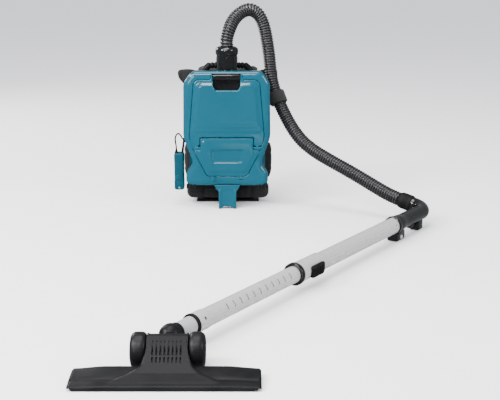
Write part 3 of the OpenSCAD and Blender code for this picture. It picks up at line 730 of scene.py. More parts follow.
def make_cover_latch():
    low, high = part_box("cover_latch")
    middle = (low + high) / 2
    turn = 2 * pi * np.arange(28) / 28
    section = np.stack([np.sign(np.cos(turn)) * abs(np.cos(turn)) ** .55 * .0044, np.sign(np.sin(turn))
        * abs(np.sin(turn)) ** .7 * .0072], 1)
    half = ((1, .62), (.985, .82), (.95, .96), (.88, 1), (.4, 1))
    rings = []
    for at, size in (*((-at, size) for at, size in half), (0, 1), *half[::-1]):
        bow = .0012 * (1 - at * at)
        rings.append([(at * .0352, middle.y + a * size - bow, middle.z + b * size) for a, b in section])
    pivots = [lathe("pin", mm("0 .1, 0 2, 4.5 2, 5 1.6, 5 .1"), place((side * .0345, -.069, .349),
        (side, 0, 0), (0, 1, 0)), 32) for side in (-1, 1)]
    finish_piece(join("latch_bar", [loft("latch_bar", rings), *pivots]), "cover_latch", BLACK_GLOSS,
        "cover_latch", 50)


def make_battery_cover():
    shape = outline("47 87.4, 55 93, 62 108, 88 157, 69 157, 69 188", "4 6 14 5 4 4", True)
    field = outline("38 124, 43 158", "7 5", True)
    brow = outline("52 100, 70 150, 64 182", "10", True)
    cover = panel("battery_cover_shell", shape, [], FRONT, FRONT + .005, mm("0 2, .4 1, 1.2 .3, 2.4 0"),
        [(field, -.003, .0042), (brow, .002, .01)], .0032, .0008)
    finish_piece(hinged(cover, BATTERY_HINGE_X, BATTERY_HINGE_Z, .004), "battery_cover", TEAL,
        "battery_cover", 38)


def around(outline, centre, angles):
    """An outline met by rays from its centre, so that outlines of any kind loft together."""
    p = np.asarray(outline, float) - centre
    q = np.roll(p, -1, 0)
    made = []
    for angle in angles:
        d = np.array([cos(angle), sin(angle)])
        cross = p[:, 0] * d[1] - p[:, 1] * d[0], q[:, 0] * d[1] - q[:, 1] * d[0]
        share = cross[0] / np.where(np.abs(cross[0] - cross[1]) < 1e-15, 1e-15, cross[0] - cross[1])
        at = p + share[:, None] * (q - p)
        hit = (cross[0] * cross[1] <= 0) & (at @ d > 0)
        made.append(centre + at[hit][np.argmax(at[hit] @ d)])
    return np.array(made)


def make_housing():
    centre = np.array([0, .2])
    rel = SHELL - centre
    angles = np.sort(np.concatenate([np.arctan2(rel[:, 1], rel[:, 0]), np.linspace(-pi, pi, 140,
        endpoint=False) + .001]))
    angles = angles[np.concatenate([[True], np.diff(angles) > .002])]
    stations = [(y, offset(SHELL, inset)) for y, inset in mm("-58.2 1, -30 1, -25.5 2.2, -22.5 5")]
    # From here on the housing is a rounded box: Y, half width, lower edge, upper edge, corner radius.
    stations += [(y, rounded([(-half, low), (half, low), (half, high), (-half, high)], radius))
        for y, half, low, high, radius in mm("-19 100 64 353 16, -6 98 64 352 16, 10 93 64 349 16, "
        "13.5 91 64 342 14, 18 89.5 64 331 14, 36 86.5 66 326 14, 46 84.5 68 321 14, "
        "50 82.5 70 317 14, 51.8 79 74 313 12")]
    rings = []
    for y, shape in stations:
        flat = around(shape, centre, angles)
        rings.append(np.stack([flat[:, 0], np.full(len(flat), y), flat[:, 1]], 1))
    shell = loft("rear_housing", rings)
    cutters = blocks("-79 -90 196 79 46 312, -106 -90 196 106 -25 322, -87 -90 66 87 -4 188, "
        "-78 -20 72 78 46 186", .004, 3)
    cutters.append(lathe("bore", mm("300 24, 352.5 24, 352.5 27.2, 375 27.2"), CONNECTOR_FRAME, 64,
        hollow=False))
    cutters += [block("vent", (side * .094 - .008, -.012, .1 + k * VENT_PITCH), (side * .094 + .008,
        .008 + .0015 * k, .1042 + k * VENT_PITCH), .0015, 2) for side in (-1, 1) for k in range(VENTS)]
    boolean(shell, cutters)
    finish_piece(shell, "pack", TEAL, "main_housing", 38)


def make_tongue():
    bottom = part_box("bottom_hook")[0].z
    shape = outline("10 7, 12 3, 22 3, 23 10, 23 44, 33 60, 34 64, -33 64, -32 60, -21 44, -21 10, "
        "-20.5 3, -12 3, -10 7", "3 1.5 2 4 9 3 1 1 3 9 4 2 1.5 3")
    plate = panel("tongue_plate", shape, [], FRONT, FRONT + .004, mm("0 1.4, .4 .6, 1.1 .2, 1.8 0"),
        [(outline("-13 14, 15 14, 15 52, -13 52", "5"), -.0009, .004)], .0036)
    ribs = [block("rib", (x, FRONT - .001, bottom), (x + .006, FRONT + .011, .052), .0018, 4)
        for x in (-.022, .018)]
    root = block("root", (-.03, FRONT + .0038, .05), (.03, FRONT + .0198, .062), .003, 4)
    finish_piece(join("tongue", [plate, *ribs, root]), "pack", TEAL, "bottom_hook", 38)


def make_carry_handle():
    radius = .0086
    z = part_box("carry_handle")[1].z - radius
    half = [(.062, .031, .318), (.0625, .032, .336), (.06, .032, .351), (.052, .032, z - .0035),
        (.042, .032, z)]
    path = spline([(-x, *yz) for x, *yz in half] + [(0, .032, z)] + half[::-1], .0011)
    wave = .5 + .5 * np.cos(path[:, 0] / .0088 * 2 * pi)
    thick = radius - np.where(np.abs(path[:, 0]) < .05, .0026 * wave ** 2, 0)
    thick = thick + .0022 * smooth((.336 - path[:, 2]) / .018)
    finish_piece(tube("carry_handle_grip", path, thick, 40), "pack", BLACK_GRAIN,
        "carry_handle", 60)


def make_connector():
    top, body_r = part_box("hose_connector")[1].z, .0267
    outer = mm("352.5 25.5, 353.7 26.7, 362 26.7, 362.6 26, 364 26, 364.6 26.7, 394 26.7, 397.2 27.3, "
        "399 28.7, 400.4 29.5, 410 29.5, 412.8 28.9, 415 27.3, 416.8 24.9") + mm("-.8 23.6, 0 22.6",
        top)
    inner = mm("0 17.2", top) + mm("412 16.6, 312 16")
    socket = lathe("socket", outer + inner + mm("312 23.2, 312.6 23.95, 352.5 23.95"), CONNECTOR_FRAME,
        112)
    ridges = [block("ridge", (-.0014, body_r - .0008, .37), (.0014, body_r + .0011, .3925), .0006, 3,
        CONNECTOR_FRAME @ turned(a)) for a in range(0, 360, 45)]
    finish_piece(join("hose_connector_socket", [socket, *ridges]), "hose_connector", BLACK_GLOSS,
        "hose_connector", 40)


# ---------------------------------------------------------------- pack: straps, pads and small parts
def remeshed_box(name, low, high, edge, voxel):
    obj = block(name, low, high, edge, 5)
    m = obj.modifiers.new("voxels", "REMESH")
    m.mode, m.voxel_size = "VOXEL", voxel
    return settle(obj)


def inflated(obj, cap, pressure=4.0, frames=20):
    """Blows a closed cloth form up a little, as filling does. No point moves further than cap."""
    rest = points_of(obj)
    scene = bpy.context.scene
    cloth = obj.modifiers.new("cloth", "CLOTH")
    settings = cloth.settings
    settings.use_pressure, settings.uniform_pressure_force, settings.quality = True, pressure, 5
    settings.effector_weights.gravity = 0
    settings.tension_stiffness = settings.compression_stiffness = 25
    cloth.point_cache.frame_start, cloth.point_cache.frame_end = 1, frames
    for at in range(1, frames + 1):
        scene.frame_set(at)
    settle(obj)
    scene.frame_set(1)
    way = points_of(obj) - rest
    far = np.linalg.norm(way, axis=1)
    way *= (np.minimum(far, cap) / np.maximum(far, 1e-9))[:, None]
    move_points(obj, rest + way)
    m = obj.modifiers.new("round", "SUBSURF")
    m.levels = m.render_levels = 1
    return settle(obj)


def sew(obj, seams, depth, width, axis, thickness):
    """Pulls a padded form in along its seams. seams are functions of the points that give their
    distance to a seam, and axis is the way that the pad is thick."""
    co = points_of(obj)
    middle = (co[:, axis].max() + co[:, axis].min()) / 2
    pull = np.zeros(len(co))
    for seam in seams:
        pull = np.maximum(pull, np.exp(-(seam(co) / width) ** 2))
    side = np.clip((co[:, axis] - middle) / (thickness / 2), -1, 1)
    co[:, axis] -= side * pull * depth
    move_points(obj, co)


def make_pads():
    low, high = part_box("back_pad")
    swell = .003
    pad = remeshed_box("back_pad_cushion", low + Vector((swell,) * 3), high - Vector((swell,) * 3),
        .007, .005)
    pad = inflated(pad, .005)
    rows = [low.z + (high.z - low.z) * s for s in (.2, .4, .6, .8)]
    sew(pad, [lambda co, z=z: co[:, 2] - z for z in rows] + [lambda co: np.where(np.abs(co[:, 0]) < .06,
        np.abs(np.abs(co[:, 0]) - .028), 1)], .0045, .0042, 1, high.y - low.y)
    finish_piece(pad, "pack", MESH_CLOTH, "back_pad", 80)
    low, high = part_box("lumbar_pad")
    pad = remeshed_box("lumbar_pad_cushion", low + Vector((-.003, .003, .003)),
        high - Vector((-.003, .003, .003)), .016, .005)
    pad = inflated(pad, .006)
    sew(pad, [lambda co, x=x: co[:, 0] - x for x in (-.064, .064)], .004, .005, 1, high.y - low.y)
    finish_piece(pad, "pack", NYLON, "lumbar_pad", 80)


def band_rings(line, section):
    """A strap's rings along a line in a plane. section(s) lists its (width, thickness) points s of the
    way along, and each point of a ring has its place in the plane first and its width last."""
    ways = np.gradient(line, axis=0)
    ways /= np.linalg.norm(ways, axis=1)[:, None]
    return [[(p[0] - b * d[1], p[1] + b * d[0], a) for a, b in section(k / (len(line) - 1))]
        for k, (p, d) in enumerate(zip(line, ways))]


STRAP_X, STRAP_QUILTS, BELT_QUILTS = .052, 9, 5


def make_straps():
    line = spline(mm("65 317, 74 338, 90 350, 108 347, 123 326, 132 292, 135 252, 132 215, 123 184, "
        "110 162, 97 149, 87 142"), .003)
    base = pad_ring(.056, .0118)

    def section(s):
        narrow = 1 - .22 * smooth((s - .72) / .28)
        ends = .55 + .45 * smooth(min(s, 1 - s) / .03)
        puff = 1 - .1 * cos(s * 2 * pi * STRAP_QUILTS) * smooth(min(s, 1 - s) / .08)
        return [(a * narrow, b * puff * ends) for a, b in base]

    for side, name in SIDES:
        rings = [[(side * STRAP_X + x, y, z) for y, z, x in ring] for ring in band_rings(line, section)]
        strap = loft("shoulder_strap_pad_" + name, rings)
        finish_piece(strap, "pack", MESH_CLOTH, "shoulder_strap_" + name, 70)
    line = spline(mm("86 141, 85 128, 84 110, 82 92, 76 76, 66 64, 59.4 54, 59.4 40"), .003)
    flat = flat_ring(.026, .0022)
    strips = [loft("strip", [[(side * STRAP_X + x, y, z) for y, z, x in ring]
        for ring in band_rings(line, lambda s: flat)]) for side in (-1, 1)]
    finish_piece(join("adjusting_webbing", strips), "pack", WEBBING, "strap_webbing", 50)


def pad_ring(width, thick, count=15):
    """A quilted strap's cross-section: crowned faces with two channels, and round bound edges."""
    half, bind = width / 2, .0026
    top = []
    for t in 1 - 2 * np.arange(count) / (count - 1):
        crown = (1 - abs(t) ** 5) * (thick / 2 - bind * .6) + bind * .6
        top.append((t * (half - bind), crown - .0012 * exp(-((abs(t) - .42) / .09) ** 2)))
    return both_sides(top + [(-(half - bind) - bind * sin(a), bind * cos(a) * .8)
        for a in np.linspace(.5, pi - .5, 5)])


def flat_ring(width, thick):
    """Woven webbing's cross-section, with rounded selvedges."""
    half, edge = width / 2, thick / 2
    top = [(x * half, edge) for x in (.93, .5, 0, -.5, -.93)]
    return both_sides(top + [(-half * .93 - edge * .9 * sin(a), edge * cos(a)) for a in (.6, 1.57,
        2.5)])


def both_sides(half):
    """Half of a cross-section and the same turned half round."""
    return half + [(-a, -b) for a, b in half]


def make_wings():
    """The padded ends of the harness yoke, which show beside the shell's upper corners."""
    line = spline(mm("56 318 20, 75 321 24, 95 326 25, 110 330 22, 122 334 17, 130 338 11, "
        "133.5 341 4"), .003)
    turn = np.linspace(0, 2 * pi, 40, endpoint=False)
    for side, name in SIDES:
        rings = []
        for k, (x, z, half) in enumerate(line):
            s = k / (len(line) - 1)
            thick = .0052 * (.6 + .4 * smooth(min(s, 1 - s) / .06)) * (1 - .1 * cos(s * 8 * pi))
            rings.append([(side * x, .061 + thick * np.sign(sin(a)) * abs(sin(a)) ** .6,
                z + half * np.sign(cos(a)) * abs(cos(a)) ** .7) for a in turn])
        wing = loft("harness_wing_pad_" + name, rings)
        finish_piece(wing, "pack", NYLON, None, 70)


def make_adjusters():
    parts = []
    for x in (-STRAP_X, STRAP_X):
        slide = blocks("-18 81.2 100 18 88.2 124", .0016, 3, x)[0]
        parts.append(boolean(slide, blocks("-13.4 70 103.8 13.4 100 109.6, "
            "-13.4 70 113.8 13.4 100 119.6", .0008, 2, x)))
        parts += blocks("-16.5 86.8 121.5 16.5 90.2 126.2", .0013, 3, x)
    finish_piece(join("strap_slides", parts), "pack", BLACK_SATIN, "strap_adjusters", 40)


def make_belts():
    def section(s):
        tall = .104 - .042 * smooth((s - .3) / .6)
        ends = .5 + .5 * smooth(min(s + .02, 1 - s) / .07)
        thick = (.0062 + .0054 * smooth(s / .25)) * (1 - .12 * cos(s * 2 * pi * BELT_QUILTS)) * ends
        middle = .104 + .009 * smooth((s - .3) / .6)
        return [(middle + a, b * thick / .0116) for a, b in pad_ring(tall * (.94 + .06 * ends), .0116)]

    route = mm("73 56, 86 55.6, 101 55, 111 58, 113.5 66, 111 78, 105 90, 99 97")
    for side, name in SIDES:
        belt = loft("waist_belt_pad_" + name, band_rings(spline([(side * x, y) for x, y in route],
            .0028), section))
        finish_piece(belt, "pack", NYLON, "waist_belt_" + name, 70)
    flat = flat_ring(.03, .0022)
    line = spline(mm("-97.5 97.5, -70 98.5, -21 98.5"), .004)
    strips = [loft("strip", [[(-side * p[0], p[1] + b, .114 + a) for a, b in flat] for p in line])
        for side in (-1, 1)]
    finish_piece(join("belt_webbing", strips), "pack", WEBBING, None, 50)
    body = blocks("-22 93.2 95 4 104.8 133", .0034)[0]
    tongue = blocks("3 94.2 97.5 22 103.8 130.5", .003)
    boolean(body, blocks("-10 90 92.5 5.5 110 99.5, -10 90 128.5 5.5 110 135.5", .002, 3))
    bars = blocks("-19.5 94 99 -17.3 105.2 129, 12.5 94 99 14.7 105.2 129, 17 94 99 19.2 105.2 129",
        .0009, 2)
    prongs = blocks("-8.5 96.2 95.5 7.5 101.6 99.1, -8.5 96.2 128.7 7.5 101.6 132.3", .0014, 3)
    finish_piece(join("belt_buckle_clip", [body, *tongue, *bars, *prongs]), "pack", BLACK_SATIN,
        "belt_buckle", 40)


def make_hose_holder():
    m = Matrix.Translation((.133, .02, .28)) @ turned(137) @ turned(28, "Y")
    half = mm("-15 19.7, -15.8 20.4, -16 21.6, -15.4 22.6, -14 23, -12 22.6, -10 23")
    sleeve = lathe("hose_sleeve", half + [(-z, r) for z, r in half[::-1]], m, 72)
    r = .0238
    flap = loft("flap", [[(r * cos(t) * (1 + b / r), r * sin(t) * (1 + b / r), a)
        for a, b in flat_ring(.025, .0018)] for t in np.linspace(.3, 2.2, 16)], matrix=m)
    tie_line = spline(mm("83.5 47.5 276.5, 92 46 275.5, 102 41.5 273.5, 111.5 36.5 272"), .002)
    tie = loft("tie", [[(p[0] + b * .35, p[1] + b * .94, p[2] + a) for a, b in flat_ring(.019, .0046)]
        for p in tie_line])
    finish_piece(join("hose_sleeve", [sleeve, flap, tie]), "pack", WEBBING, "hose_holder", 45)


def make_remote():
    low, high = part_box("control_box")
    centre, half = (low + high) / 2, (high - low) / 2

    def section(z, inset, pinch=0):
        x, y = half.x - inset - pinch, half.y - inset
        return [(centre.x + a, centre.y + b, z) for a, b in rounded([(-x, -y), (x, -y), (x, y),
            (-x, y)], max(.0045 - inset * .3, .001), 5)]

    rounding = mm("0 4.2, .6 2.4, 1.6 1, 3 .3, 5 0")
    rings = [section(low.z + up, inset) for up, inset in rounding]
    for z in np.arange(low.z + .007, high.z - .006, .0009):
        ribbed = low.z + .026 < z < high.z - .022
        rings.append(section(z, 0, .0008 * (.5 - .5 * cos((z - low.z) / .0054 * 2 * pi)) if ribbed
            else 0))
    rings += [section(high.z - down, inset) for down, inset in rounding[::-1]]
    cutters = [lathe("seat", mm("-10 6.1, 7 6.1"), place((-.127, low.y + .003, z), (0, 1, 0)), 48,
        hollow=False) for z in (.08, .062)]
    finish_piece(boolean(loft("remote_box", rings), cutters), "pack", TEAL_DARK,
        "control_box", 40)
    seam = block("seam", (low.x - .0001, centre.y + .002, low.z + .004), (high.x + .0001,
        centre.y + .0026, high.z - .004), .0001, 1)
    finish_piece(seam, "pack", BLACK_SATIN)
    for node in ("power_button", "mode_button"):
        low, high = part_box(node)
        profile = mm("0 .4, 0 6") + mm("-1.2 6, -.4 5.6, 0 4.6, -.5 3, -.7 .4", high.y - low.y)
        cap = lathe(node + "_cap", profile, place(((low.x + high.x) / 2, high.y, (low.z + high.z) / 2),
            (0, -1, 0)), 48)
        finish_piece(cap, node, TEAL_DARK, node, 50)


# ---------------------------------------------------------------- wand and handle
CORNER, BEND_R, BEND_ANGLE, BEND_ROLL = 1.013, .032, radians(93), radians(194)
BEND_RUN = BEND_R * tan(BEND_ANGLE / 2)
BEND_SIDE = cos(BEND_ROLL) * WAND_SIDE - sin(BEND_ROLL) * np.array([0, 0, 1])
CUFF_DIR = sin(BEND_ANGLE) * BEND_SIDE + cos(BEND_ANGLE) * WAND_DIR
BEND_END = (ELBOW + (CORNER - BEND_RUN) * WAND_DIR + BEND_R * (sin(BEND_ANGLE) * WAND_DIR
    + (1 - cos(BEND_ANGLE)) * BEND_SIDE))
SWAGE_FROM, SWAGE_TO, OUTER_END = .398, .492, .838
LOCK_AT, LOCK_ROLL = .452, 4
NOTCHES, NOTCH_FROM, NOTCH_PITCH, NOTCH_ROLL = 11, .1455, .021, -38
CLAMP_AT, BUTTON_AT, BUTTON_DROP = .826, .848, .029
OUTER_HOLE_AT, INNER_HOLE_AT = (.813, -24), (.078, -30)
REAR_LUG_AT, HANDLE_WEB_AT = .9575, .93
CUFF_REACH, CUFF_GAP = .0705, .0045


def make_tubes():
    wand = on_wand(0)
    swage = mm("0 17.6, 0 20.6, .6 21", SWAGE_FROM) + mm("-9.5 21, -7.5 20.7, -2 19.1, 0 18.8",
        SWAGE_TO)
    end = mm("600 18.8, 720 18.8") + mm("-.4 18.8, 0 18.5, 0 17.8", OUTER_END) + mm("2 17.8, -9 17.7",
        SWAGE_TO)
    outer = lathe("outer_tube_shell", swage + end, wand, 128)
    slot = blocks("10 -9 -30 30 9 22", .002, 3, matrix=on_wand(LOCK_AT, LOCK_ROLL))
    hole = lathe("hole", mm("12 2, 24 2"), on_wand(*OUTER_HOLE_AT) @ turned(90, "Y"), 24, hollow=False)
    finish_piece(boolean(outer, [*slot, hole]), "pack", ALUMINIUM, "outer_tube", 30)

    inner = lathe("inner_tube_shell", mm("62 15.8, 62 17.8, 62.4 18.2, 90 18.2, 92.5 18, 96.5 17.1, "
        "98.5 16.9, 200 16.9, 300 16.9, 400 16.9, 554.5 16.9, 555 16.5, 555 15.9, 98.5 15.9, "
        "92.5 17.2"), wand, 128)
    cutters = [blocks("13.7 -6.4 -1.3 20.9 6.4 1.3", .0008, 2, matrix=on_wand(NOTCH_FROM + k
        * NOTCH_PITCH, LOCK_ROLL + NOTCH_ROLL))[0] for k in range(NOTCHES)]
    cutters.append(lathe("hole", mm("10 3, 24 3"), on_wand(*INNER_HOLE_AT) @ turned(90, "Y"), 32,
        hollow=False))
    finish_piece(boolean(inner, cutters), "inner_wand", ALUMINIUM, "inner_tube", 30)

    ring = lathe("tube_collar_ring", mm("388 16.95, 388 22.2, 388.8 23, 390 23.2, 396.2 23.2, "
        "397.4 22.9, 398 22.2, 398 16.95"), wand, 96)
    finish_piece(ring, "pack", BLACK_GLOSS, "tube_collar", 40)
    seal = lathe("seal_ring_band", mm("56 14.25, 56 18.6, 56.8 19.3, 59 19.4, 61.2 19.3, 62 18.7, "
        "62 14.25"), wand, 96)
    finish_piece(seal, "inner_wand", RUBBER, "seal_ring", 40)
    neck = lathe("neck_sleeve", mm("16 11.7, 16 13.8, 16.6 14.2, 19.8 14.2, 20.4 15, 36 15.3, "
        "55.5 15.8, 56.2 14.2, 87 14.2, 88 11.7"), wand, 96)
    finish_piece(neck, "inner_wand", GREY_GRAIN, "neck_pipe", 40)


def make_lock_slider():
    end = mm("24 23.4 10, 23.6 24.2 11.2, 21.5 25.6 12.4")
    stations = [(-z, high, half) for z, high, half in end] + mm("-17.5 27.2 13")
    for k in range(31):
        z = -.015 + k * .001
        stations.append((z, .0276 - .0011 * exp(-((z - .0005) / .0055) ** 2) + .0007 * cos(k / 3.75 * 2
            * pi), .013))
    stations += mm("17.5 27 13") + end[::-1]
    rings = []
    for z, high, half in stations:
        across = half * np.sin(np.linspace(-pi / 2, pi / 2, 31))
        top = [(.0216 + (high - .0216) * sqrt(1 - abs(y / half) ** 3.5), y) for y in across]
        under = [(.0214 * cos(a), .0214 * sin(a)) for a in np.linspace(half / .0222, -half / .0222, 9)]
        rings.append([(x, y, z) for x, y in top + under])
    both = join("lock_slider_cap", [loft("slider", rings), *blocks("17.5 -8.4 -17 22.8 8.4 12", .001,
        2)])
    both.data.transform(on_wand(LOCK_AT - .004, LOCK_ROLL))
    finish_piece(both, "lock_slider", BLACK_SATIN, "lock_slider", 40)


def make_handle():
    start, pipe_r = OUTER_END + .0002, .018
    bend_from = CORNER - BEND_RUN
    straight = np.linspace(start, bend_from, 40)
    line = [ELBOW + s * WAND_DIR for s in straight]
    radius = [pipe_r + .002 * (1 - smooth((s - start - .012) / .03)) for s in straight]
    centre = line[-1]
    for t in np.linspace(0, BEND_ANGLE, 30)[1:]:
        line.append(centre + BEND_R * (sin(t) * WAND_DIR + (1 - cos(t)) * BEND_SIDE))
        radius.append(pipe_r + .0012 * sin(min(1, t / BEND_ANGLE) * pi))
    line += [BEND_END + s * CUFF_DIR for s in (.0015, .003, .0043)]
    radius += [pipe_r] * 3
    radius[0] -= .0012
    radius[1] -= .0001
    pipe = tube("pipe", line, radius, 72)
    ridge_line = [p + np.array([0, 0, 1]) * (r - .0004) for p, r in zip(line[8:40], radius[8:40])]
    ridge = tube("ridge", ridge_line, np.interp(np.arange(32), [0, 4, 27, 31], [.0004, .0022, .0022,
        .0004]), 16)
    rear = blocks("-12.5 4 -12.5 12.5 37.7 14.5", .0045, 5, matrix=on_wand(REAR_LUG_AT))
    web = blocks("-5.5 10 -16 5.5 26 40", .003, 4, matrix=on_wand(HANDLE_WEB_AT))
    finish_piece(join("handle_pipe_shell", [pipe, ridge, *rear, *web]), "pack", BLACK_GLOSS,
        "handle_pipe", 45)

    clamp = on_wand(CLAMP_AT)
    sleeve = lathe("sleeve", mm("0 18.85, 0 20.8, .8 21.8, 3 22, 10.5 22, 11.7 21.4, 11.9 20.1, "
        "11.9 18.85"), clamp, 96)
    lug = blocks("-13.8 12 .5 13.8 37.8 43.5", .005, 5, matrix=clamp)
    shoulder = blocks("-16.5 4 1 16.5 24 33", .005, 4, matrix=clamp)
    bore = lathe("bore", mm("-2 18.85, 12.1 18.85, 12.1 20.3, 60 20.3"), clamp, 96, hollow=False)
    button_axis = on_wand(BUTTON_AT) @ Matrix.Translation((0, BUTTON_DROP, 0)) @ turned(90, "Y")
    seat = lathe("seat", mm("3.5 5.05, 30 5.05"), button_axis, 48, hollow=False)
    grip = boolean(boolean(join("clamp", lug), shoulder, "UNION"), [bore, seat])
    finish_piece(join("grip_clamp", [sleeve, grip]), "pack", BLACK_GLOSS, "grip_block",
        40)
    button = lathe("release_button_cap", mm("6 .3, 6 5, 14.6 5, 15.4 4.6, 15.8 3.8, 15.2 2, 15.1 .3"),
        button_axis, 48)
    finish_piece(button, "release_button", GREY_GRAIN, "release_button", 45)


def make_cuff():
    length = CUFF_REACH - BEND_RUN - CUFF_GAP
    profile = mm("0 16.2, 0 19, .8 19.9, 2 20.3, 6 20.5")
    for k in range(4):
        profile += mm("8 20.5, 8.4 19.9, 9.2 19.9, 9.6 20.5", k * .0032)
    profile += mm("-8 20.4, -3 19.6, -.8 18.8, 0 18, 0 16.2", length)
    cuff = lathe("hose_cuff_grip", profile, place(BEND_END + CUFF_GAP * CUFF_DIR, CUFF_DIR), 80)
    finish_piece(cuff, "pack", RUBBER, "hose_cuff", 40)


# ---------------------------------------------------------------- floor head
HEAD_LOW, HEAD_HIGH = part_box("head_cover")
HEAD_X = (HEAD_LOW.x + HEAD_HIGH.x) / 2
HEAD_HALF = (HEAD_HIGH.x - HEAD_LOW.x) / 2
LIP_Y = HEAD_LOW.y
WING_BACK = -1.1452
GROOVES, GROOVE_PITCH = 8, .0064
BRIDGE_OUTER, BRIDGE_INNER, CHEEK_X, CHEEK_WIDE = .0285, .0252, .0305, .0027


def wing_height(x, y):
    """The head's upper side: a low lip, a slanted face and a flat back, all lower near the ends."""
    far = np.abs(x) / HEAD_HALF
    low = smooth((far - .62) / .38)
    lip = .0092 - .0012 * low
    face = np.interp(y - LIP_Y, [0, .0012, .004, .008, .034, .044, .052, .06, .0628],
        [.0066, .0086, .0092, .01, .0152, .0172, .018, .0176, .015])
    face = lip + (face - .0092) * (1 - .35 * low)
    crease = .0016 * smooth((far - .4) / .2) * np.exp(-((y - LIP_Y - .02) / .0035) ** 2)
    return face - crease - .003 * smooth((far - .972) / .028) ** 2


def make_head():
    xs = np.unique(np.concatenate([np.linspace(-1, 1, 121), [-.997, -.99, -.98, .98, .99,
        .997]])) * HEAD_HALF
    ys = LIP_Y + np.array([0, .0005, .0014, .0028, .0045, .0065, .009, .013, .016, .018, .02, .022,
        .024, .028, .033, .038, .043, .047, .051, .055, .0585, .061, .0628])
    rings = []
    for x in xs:
        far = abs(x) / HEAD_HALF
        step = .0045 * smooth((far - .955) / .012)
        tuck = .0035 * smooth((far - .975) / .025) ** 2
        top = [(HEAD_X + x, y + tuck * (1 if k < 8 else 0), float(wing_height(x, y)))
            for k, y in enumerate(ys)]
        under = [(HEAD_X + x, WING_BACK, .0032), (HEAD_X + x, WING_BACK - .0038, .0032),
            (HEAD_X + x, WING_BACK - .0042, .011), (HEAD_X + x, LIP_Y + .034, .0095),
            (HEAD_X + x, LIP_Y + .01, .0062), (HEAD_X + x, LIP_Y + .008, .0004 + step * .3),
            (HEAD_X + x, LIP_Y + .0012 + tuck, .0004 + step), (HEAD_X + x, LIP_Y + tuck, .0014 + step)]
        rings.append(top + under)
    wings = loft("wings", rings)

    half_at = lambda y: np.interp(y - LIP_Y, [0, .014, .024, .034, .046, .06, .074, .094],
        [.1, .086, .072, .056, .044, .036, .0325, .0322])
    ridge_at = lambda y: np.interp(y - LIP_Y, [0, .006, .012, .032, .048, .06, .068, .076, .086, .094],
        [.006, .0094, .0114, .017, .025, .037, .0462, .0535, .0577, .0585])
    rings = []
    for y in np.linspace(LIP_Y + .0045, AXLE[1] - .002, 90):
        half, ridge = float(half_at(y)), float(ridge_at(y))
        fade = .02 * smooth((LIP_Y + .06 - y) / .03) + .0035
        top = []
        for t in np.linspace(-1, 1, 61):
            x = t * (half + fade * .5)
            base = float(wing_height(x, min(y, LIP_Y + .055))) - .0012
            base = min(base, ridge - .0035) if y > LIP_Y + .06 else base
            bottom = base if y < LIP_Y + .06 else ridge - .012
            lift = smooth((half + fade * .5 - abs(x)) / fade)
            top.append((HEAD_X + x, y, bottom + (ridge - bottom) * lift))
        floor_z = min(.012, ridge - .006) if y < LIP_Y + .062 else ridge - .0135
        under = [(HEAD_X + s * (half * .9), y, max(.0045, floor_z)) for s in (1, .5, 0, -.5, -1)]
        rings.append(top + under)
    apron = loft("apron", rings)
    angles = np.radians(np.linspace(176, 89, 44))
    arc = [(AXLE[1] + BRIDGE_OUTER * cos(a), AXLE[2] + BRIDGE_OUTER * sin(a)) for a in angles]
    arc += [(AXLE[1] + BRIDGE_INNER * cos(a), AXLE[2] + BRIDGE_INNER * sin(a)) for a in angles[::-1]]
    across = mm("-33 1, -32.6 .3, -31.8 0, 31.8 0, 32.6 .3, 33 1")
    section = rounded(arc, [.0006 if k in (0, 43, 44, 87) else 0 for k in range(88)], 3)
    centre = section.mean(0)
    bridge = loft("bridge", [[(HEAD_X + x, *(p + (centre - p) * inset * .6)) for p in section]
        for x, inset in across])
    clear = lathe("clear", [(-CHEEK_X, .0251), (CHEEK_X, .0251)], on_axle(), 96, hollow=False)
    apron = boolean(apron, [clear])
    grooves = []
    for k in range(GROOVES):
        x = HEAD_X + (k - (GROOVES - 1) / 2) * GROOVE_PITCH
        tilt = Matrix.Translation((x, LIP_Y + .0662, .0458)) @ turned(-50, "X")
        grooves.append(block("groove", (-.0015, -.0028, -.0125), (.0015, .006, .0125), .0012, 3, tilt))
        tilt = Matrix.Translation((x, LIP_Y + .0512, .0334)) @ turned(-60, "X")
        grooves.append(block("groove", (-.0013, -.0012, -.005), (.0013, .006, .005), .001, 3, tilt))
    apron = boolean(apron, grooves)
    cheeks = []
    for side in (-1, 1):
        x0 = HEAD_X + side * CHEEK_X - (CHEEK_WIDE if side < 0 else 0)
        disc = lathe("cheek", mm("0 4.1, 0 27.4, .6 28.1, 2.1 28.1, 2.7 27.4, 2.7 4.1"),
            place((x0, AXLE[1], AXLE[2]), (1, 0, 0), (0, 0, -1)), 72)
        cheeks.append(disc)
    finish_piece(join("head_cover_shell", [wings, apron, bridge, *cheeks]), "floor_head", BLACK_GRAIN,
        "head_cover", 42)


def make_wheels():
    tyre = mm("0 4.05, 0 21, .6 24, 2 27, 4.2 28.9, 7 29.8, 10 30")
    hub = ("-11 30, -7.8 29.7, -4.8 28.7, -2.4 26.8, -.8 24, 0 20.5, -.4 19.2, -2.2 18.4, -2.6 17, "
        "-2.2 10, -.8 8.4, -.4 7.4, -.4 4.05")
    for side, node in ((-1, "wheel_left"), (1, "wheel_right")):
        low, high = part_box(node)
        start = low.x if side > 0 else high.x
        wheel = lathe(node + "_roller", tyre + mm(hub, high.x - low.x), place((start, AXLE[1], AXLE[2]),
            (side, 0, 0), (0, 0, -1)), 112)
        finish_piece(wheel, node, TREAD, node, 30)


